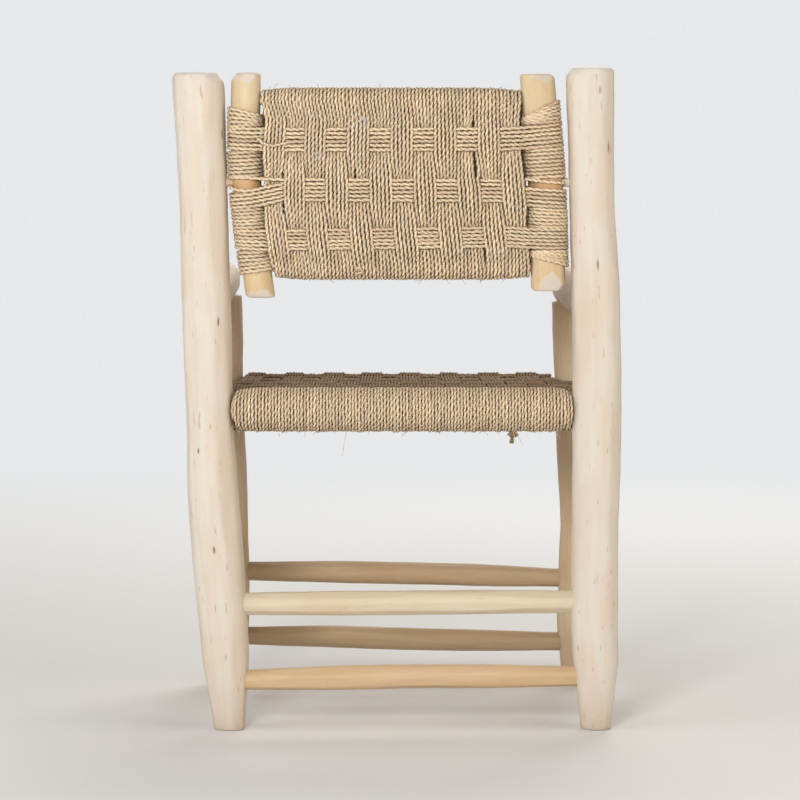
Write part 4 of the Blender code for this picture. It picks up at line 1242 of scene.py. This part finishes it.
    def weft(self, bands):
        """One long path through the ropes of several cross bands, moving on under the seat."""
        middle = (WEFT_ROPES - 1) / 2
        shifts = (np.arange(WEFT_ROPES) - middle) * ROPE_PITCH
        places = [self.wefts[band] + shift for band in bands for shift in shifts]
        path = []
        for index, y in enumerate(places):
            left, left_radius = self.sides["left"].at(y)
            right, right_radius = self.sides["right"].at(y)
            across = np.linspace(left[X], right[X], SEAT_WEFT_POINTS)[1:-1]
            upper = self.top + self.crossing(across, left[X], right[X], y, bands[index // WEFT_ROPES])
            path += [(x, y, z) for x, z in zip(across, upper)]
            path += [(x, y, z) for x, z in arc((right[X], right[Z]), right_radius + ROPE_RADIUS, 90, -180)]
            if index == len(places) - 1:
                break
            inner = left[X] + SEAT_UNDER_RUN, right[X] - SEAT_UNDER_RUN
            sideways = eased(across, ((left[X], inner[0], places[index + 1]), (inner[1], right[X], y)))
            rises = ((left[X] - LEAD, left[X], 0.0), (*inner, 1.0), (right[X], right[X] + LEAD, 0.0))
            lower = zip(across, sideways, self.under + SEAT_UNDER_RISE * eased(across, rises))
            path += list(lower)[::-1]
            bend = arc((left[X], left[Z]), left_radius + ROPE_RADIUS, -90, -180)
            path += [(x, places[index + 1], z) for x, z in bend]
        return np.array(path)

    def crossing(self, across, left, right, y, band):
        """How far a cross rope lies over or under the middle of the weave."""
        edges = [self.band_edge(group, y) for group in range(SEAT_BANDS + 1)]
        stops = [(left - LEAD, edges[0] - SEAT_REST, 0.0)]
        for group in range(SEAT_BANDS):
            over = -1 if (group + band) % 2 else 1
            low, high = edges[group] + SEAT_BEND, edges[group + 1] - SEAT_BEND
            stops.append((low, high, SEAT_CROWN + over * SEAT_WEAVE))
        stops.append((edges[-1] + SEAT_REST, right + LEAD, 0.0))
        return eased(across, stops)

    def hem(self):
        """Ropes along the front rail, under every other group of long ropes."""
        paths = []
        for y in SEAT_HEM:
            edges = [self.band_edge(group, y) for group in range(SEAT_BANDS + 1)]
            lifts = [SEAT_HEM_LIFT if group % 2 else 0.0 for group in range(SEAT_BANDS)]
            bands = zip(edges, edges[1:], lifts)
            stops = [(low + SEAT_REST, high - SEAT_REST, lift) for low, high, lift in bands]
            start, end = edges[0] + SEAT_HEM_ENDS[0], edges[-2] + SEAT_HEM_ENDS[1]
            across = np.linspace(start, end, HEM_POINTS)
            heights = self.rail_top(y) + eased(across, stops)
            paths.append(np.stack((across, np.full(len(across), y), heights), axis=1))
        return paths

    def wraps(self, side):
        """Ropes wound round a side rail between the cross bands."""
        rail = self.sides[side]
        half_band = WEFT_ROPES * ROPE_PITCH / 2
        paths = []
        for first, second in zip(self.wefts, self.wefts[1:]):
            start, end = first + half_band + ROPE_RADIUS, second - half_band - ROPE_RADIUS
            turns = round((end - start) / ROPE_PITCH)
            angles = 2 * np.pi * np.arange(turns * WRAP_STEPS + 1) / WRAP_STEPS
            along = np.linspace(start, end, len(angles))
            centres = np.array([rail.at(y)[0] for y in along])
            reach = rail.at(start)[1] + ROPE_RADIUS
            centres[:, X] += reach * np.sin(angles)
            centres[:, Z] -= reach * np.cos(angles)
            paths.append(centres)
        return paths


# Materials


def add_node(tree, kind, **settings):
    """A shader node with its properties, and the values or links of its inputs by name."""
    node = tree.nodes.new(kind)
    inputs = settings.pop("inputs", {})
    for name, value in settings.items():
        setattr(node, name, value)
    for name, value in inputs.items():
        if isinstance(value, bpy.types.NodeSocket):
            tree.links.new(value, node.inputs[name])
        else:
            node.inputs[name].default_value = value
    return node


def start_material(name):
    """A new material with its node tree and its surface shader."""
    material = bpy.data.materials.new(name)
    material.use_nodes = True
    return material, material.node_tree, material.node_tree.nodes["Principled BSDF"]


def attribute(tree, name, output):
    """A value or a vector that a piece stores at its points."""
    return add_node(tree, "ShaderNodeAttribute", attribute_name=name).outputs[output]


def stretched_noise(tree, coordinates, scale, detail=4.0, roughness=0.55):
    """Noise over stored coordinates, with its own scale along each of them."""
    mapping = add_node(tree, "ShaderNodeMapping", inputs={"Vector": coordinates, "Scale": scale})
    inputs = {"Vector": mapping.outputs["Vector"], "Scale": 1.0, "Detail": detail, "Roughness": roughness}
    return add_node(tree, "ShaderNodeTexNoise", inputs=inputs).outputs["Fac"]


def ramp(tree, value, *stops):
    """Colours or greys at places between 0 and 1."""
    node = add_node(tree, "ShaderNodeValToRGB", inputs={"Fac": value})
    marks = node.color_ramp.elements
    while len(marks) < len(stops):
        marks.new(1.0)
    for mark, (place, colour) in zip(marks, stops):
        mark.position = place
        mark.color = (*colour, 1.0) if isinstance(colour, tuple) else (colour, colour, colour, 1.0)
    return node.outputs["Color"]


def mixed(tree, share, first, second):
    """Two colours mixed by a share."""
    node = add_node(tree, "ShaderNodeMix", data_type="RGBA")
    for socket, value in ((node.inputs[0], share), (node.inputs[6], first), (node.inputs[7], second)):
        if isinstance(value, bpy.types.NodeSocket):
            tree.links.new(value, socket)
        else:
            socket.default_value = (*value, 1.0) if isinstance(value, tuple) else value
    return node.outputs[2]


def layered(tree, colour, *layers):
    """A colour with tones laid over it, each by a mask and two marks (place, strength) on it."""
    for mask, low, high, tone in layers:
        colour = mixed(tree, ramp(tree, mask, low, high), colour, tone)
    return colour


def bump(tree, height, strength, distance):
    """A surface direction that follows the relief of a pattern."""
    inputs = {"Height": height, "Strength": strength, "Distance": distance}
    return add_node(tree, "ShaderNodeBump", inputs=inputs).outputs["Normal"]


def wood(name, pale, tan, tint, fresh, flecks):
    """Debarked wood: long faint streaks, broad tints, small dashes, stains and painted shade on the posts'
    sides, knots, fresh cuts and soiled feet.
    """
    material, tree, shader = start_material(name)
    grain = attribute(tree, "grain", "Vector")
    streaks = stretched_noise(tree, grain, (120.0, 120.0, 11.0), 5.0)
    tints = stretched_noise(tree, grain, (26.0, 26.0, 9.0), 3.0)
    dashes = stretched_noise(tree, grain, (210.0, 210.0, 42.0), 2.0, 0.4)
    pores = stretched_noise(tree, grain, (900.0, 900.0, 28.0), 3.0)
    stain, cut, soil, knot = (attribute(tree, mark, "Fac") for mark in ("stain", "cut", "soil", "knot"))
    colour = layered(
        tree,
        pale,
        (streaks, (0.40, 0.0), (0.75, 0.7), tan),
        (tints, (0.45, 0.0), (0.70, 0.8), tint),
        (dashes, (0.67, 0.0), (0.76, flecks), DASH_TONE),
    )
    # Stains, and the painted shade on the posts' sides
    colour = layered(
        tree,
        mixed(tree, stain, colour, STAIN_AND_SHADE_TONE),
        (cut, (0.3, 0.0), (0.9, 0.85), fresh),
        (soil, (0.05, 0.0), (1.0, 0.40), SOIL_TONE),
        (knot, (0.22, 0.0), (0.75, 0.9), KNOT_TONE),
    )
    tree.links.new(colour, shader.inputs["Base Color"])
    tree.links.new(ramp(tree, streaks, (0.2, 0.46), (0.8, 0.62)), shader.inputs["Roughness"])
    shader.inputs["Specular IOR Level"].default_value = 0.22
    relief = mixed(tree, 0.35, streaks, pores)
    tree.links.new(bump(tree, relief, 0.35, 0.0006), shader.inputs["Normal"])
    return material


def straw_material():
    """Straw rope: fibres along each strand, tones that change along the rope, painted shade between the
    strands and towards neighbouring ropes, and browning partly by use and partly as painted shade.
    """
    material, tree, shader = start_material("straw_rope")
    strand = attribute(tree, "strand", "Vector")
    fibres = stretched_noise(tree, strand, (55.0, 9.0, 9.0), 4.0, 0.65)
    blades = stretched_noise(tree, strand, (30.0, 2.6, 2.6), 3.0)
    tones = stretched_noise(tree, strand, (0.45, 0.02, 0.02), 2.0)
    patches = stretched_noise(tree, strand, (1.1, 0.03, 0.03), 2.0)
    colour = layered(
        tree,
        ramp(tree, blades, *BLADES),
        (tones, (0.44, 0.0), (0.56, 0.50), GREY_STRAW),
        (patches, (0.50, 0.0), (0.60, 0.62), BROWN_STRAW),
        (fibres, (0.30, 0.40), (0.46, 0.0), FIBRE_TONE),
        # Browning by use, on the seat's top partly painted shade
        (attribute(tree, "used", "Fac"), (0.0, 0.0), (1.0, 0.82), WEAR_AND_SHADE_TONE),
        # Painted shade in the grooves and between neighbouring ropes
        (attribute(tree, "groove", "Fac"), (0.46, 0.0), (1.0, 0.86), GROOVE_SHADE_TONE),
    )
    tree.links.new(colour, shader.inputs["Base Color"])
    shader.inputs["Roughness"].default_value = 0.72
    shader.inputs["Specular IOR Level"].default_value = 0.25
    tree.links.new(bump(tree, fibres, 0.7, 0.0005), shader.inputs["Normal"])
    return material


def combined(tree, operation, first, second):
    """Two values put together by an operation."""
    node = add_node(tree, "ShaderNodeMath", operation=operation, inputs={0: first, 1: second})
    return node.outputs["Value"]


def seen(tree):
    """One where the camera looks, straight or by a mirror or glass, and nought for the light on things."""
    paths = add_node(tree, "ShaderNodeLightPath").outputs
    looks = paths["Is Camera Ray"]
    for other in (paths["Is Glossy Ray"], paths["Is Transmission Ray"]):
        looks = combined(tree, "MAXIMUM", looks, other)
    return looks


def floor_material():
    """A plain pale floor that keeps shadows near the chair and fades into the backdrop far away."""
    material, tree, shader = start_material("pale_floor")
    shader.inputs["Base Color"].default_value = (*FLOOR_COLOUR, 1.0)
    shader.inputs["Roughness"].default_value = 0.9
    place = add_node(tree, "ShaderNodeTexCoord").outputs["Object"]
    far = add_node(tree, "ShaderNodeVectorMath", operation="LENGTH", inputs={0: place}).outputs["Value"]
    inputs = {"Value": far, "From Min": FLOOR_FADE[0], "From Max": FLOOR_FADE[1]}
    fade = add_node(tree, "ShaderNodeMapRange", interpolation_type="SMOOTHSTEP", inputs=inputs)
    share = combined(tree, "MULTIPLY", fade.outputs["Result"], seen(tree))
    glow = add_node(tree, "ShaderNodeEmission", inputs={"Color": (*BACKDROP, 1.0), "Strength": 1.0})
    inputs = {"Fac": share, 1: shader.outputs["BSDF"], 2: glow.outputs["Emission"]}
    blend = add_node(tree, "ShaderNodeMixShader", inputs=inputs)
    tree.links.new(blend.outputs["Shader"], tree.nodes["Material Output"].inputs["Surface"])
    return material


# Stage and light


def studio_world():
    """Soft light from all sides, while the camera sees the plain backdrop."""
    world = bpy.data.worlds.new("studio")
    world.use_nodes = True
    tree = world.node_tree
    sky = tree.nodes["Background"]
    sky.inputs["Color"].default_value = (*SKY_COLOUR, 1.0)
    sky.inputs["Strength"].default_value = SKY_STRENGTH
    backdrop = add_node(tree, "ShaderNodeBackground", inputs={"Color": (*BACKDROP, 1.0), "Strength": 1.0})
    inputs = {"Fac": seen(tree), 1: sky.outputs["Background"], 2: backdrop.outputs["Background"]}
    both = add_node(tree, "ShaderNodeMixShader", inputs=inputs)
    tree.links.new(both.outputs["Shader"], tree.nodes["World Output"].inputs["Surface"])
    return world


def soft_lamp(name, place, target, size, power, colour):
    """A large square lamp that faces a point."""
    lamp = bpy.data.lights.new(name, "AREA")
    lamp.size = size
    lamp.energy = power
    lamp.color = colour
    lit = bpy.data.objects.new(name, lamp)
    lit.location = place
    aim = lit.location.copy()
    aim.xyz = [t - p for t, p in zip(target, place)]
    lit.rotation_mode = "QUATERNION"
    lit.rotation_quaternion = aim.to_track_quat("-Z", "Y")
    bpy.context.scene.collection.objects.link(lit)


woods = {name: wood(f"{name}_branch", *tones) for name, tones in WOODS.items()}
straw = straw_material()

# Branches of the frame
for seed, side in enumerate(SIDES, start=11):
    branch(f"rear_post_{side}", Z, "frame", "pale", seed, **POST, **POSTS[side])
# Front legs, armrests and seat rails: tan wood, partly painted shade
for seed, side in enumerate(SIDES, start=21):
    branch(f"front_leg_{side}", Z, "frame", "tan", seed, **FRONT_LEG)
    branch(f"armrest_{side}", Y, "frame", "tan", seed + 10, **ARMREST)
for seed, (side, (axis, upper, lower, full)) in enumerate(STRETCHERS.items(), start=41):
    branch(f"stretcher_{side}_upper", axis, "frame", upper, seed, full=full, **UPPER_STRETCHER)
    branch(f"stretcher_{side}_lower", axis, "frame", lower, seed + 10, **LOWER_STRETCHER)
    branch(f"seat_rail_{side}", axis, "frame", "tan", seed + 20, **SEAT_RAIL)

# Branches of the tilting back
stains = ((pivot[Z] + STILE_PEG_STAIN[0], *STILE_PEG_STAIN[1:]), STILE_STAIN)
for seed, side in enumerate(SIDES, start=71):
    branch(f"back_stile_{side}", Z, "back_panel", "yellow", seed, stains=stains, **STILE, **STILES[side])
for seed, side in enumerate(SIDES, start=81):
    branch(f"pivot_peg_{side}", X, "back_panel", "pale", seed, **PEGS[side])
for seed, level in enumerate(("top", "bottom"), start=91):
    branch(f"back_rail_{level}", X, "back_panel", "yellow", seed, **BACK_RAIL)

# Rope of the back
back = BackWeb()
halves = zip(SIDES, np.array_split(np.arange(back.ropes), 2))
for seed, (side, ropes) in enumerate(halves, start=101):
    rope(f"back_warp_{side}", [back.warp(ropes)], AXES[X], "back_panel", ["back_warp"], seed)
nodes = [f"back_weft_{index + 1}" for index in range(len(BACK_WEFTS))]
paths = [back.weft(index) for index in range(len(BACK_WEFTS))]
rope("back_weft", paths, AXES[Z], "back_panel", nodes, 103, crevice=CROSSING_CREVICE_SHADE)
wound = {"diameter": WINDING_DIAMETER, "crevice": WINDING_CREVICE_SHADE}
for seed, side in enumerate(SIDES, start=104):
    nodes = [f"back_winding_{side}_{index + 1}" for index in range(len(WINDINGS[side]))]
    paths = [back.winding(side, *winding) for winding in WINDINGS[side]]
    rope(f"back_winding_{side}", paths, AXES[Z], "back_panel", nodes, seed, **wound)
rope("back_loose_rope", [back.loose(LOOSE_ROPE), back.small_loop()], AXES[Z], "back_panel", [], 106)

# Rope of the seat
seat = SeatWeb()
# Seat rope: its top is browned, partly by use and partly as painted shade
seat_rope = {"diameter": SEAT_ROPE_DIAMETER, "used": seat.worn_and_shaded_top}
for part, ropes in enumerate(np.array_split(np.arange(seat.ropes), 5)):
    rope(f"seat_warp_{part + 1}", [seat.warp(ropes)], AXES[X], "frame", ["seat_warp"], 111 + part, **seat_rope)
for part, bands in enumerate(((0, 1, 2), (3, 4, 5))):
    rope(f"seat_weft_{part + 1}", [seat.weft(bands)], AXES[Y], "frame", ["seat_weft"], 121 + part, **seat_rope)
rope("seat_hem", seat.hem(), AXES[Z], "frame", [], 125, **seat_rope)
for seed, side in enumerate(SIDES, start=131):
    nodes = [f"seat_wrap_{side}_{index + 1}" for index in range(SEAT_WEFTS - 1)]
    rope(f"seat_wrap_{side}", seat.wraps(side), AXES[Y], "frame", nodes, seed, used=seat.worn_and_shaded_top)
brown = {"diameter": SEAT_TAG_DIAMETER, "used": lambda points: np.ones(len(points))}
rope("seat_tag", seat.tags(), AXES[Y], "frame", [], 126, **brown)

# Loose straws
rope("seat_wisps", seat.wisps(), SKEW, "frame", [], 143, WISP_DIAMETER)
rope("back_wisps", back.wisps(), SKEW, "back_panel", [], 144, WISP_DIAMETER)

# Stage, light and camera
place = (0.0, 0.0, FLOOR_HEIGHT)
bpy.ops.mesh.primitive_circle_add(vertices=96, radius=FLOOR_RADIUS, fill_type="NGON", location=place)
floor = bpy.context.object
floor.name = "floor"
floor.data.materials.append(floor_material())

scene = bpy.context.scene
scene.view_settings.view_transform = "Standard"
scene.world = studio_world()
for name, lamp in LAMPS.items():
    soft_lamp(name, *lamp)

lens = bpy.data.cameras.new("camera")
lens.sensor_width = CAMERA_SENSOR
lens.lens = CAMERA_LENS
camera = bpy.data.objects.new("camera", lens)
camera.location = CAMERA_PLACE
camera.rotation_euler = (math.pi / 2 - CAMERA_DOWN, 0.0, -CAMERA_RIGHT)
scene.collection.objects.link(camera)
scene.camera = camera
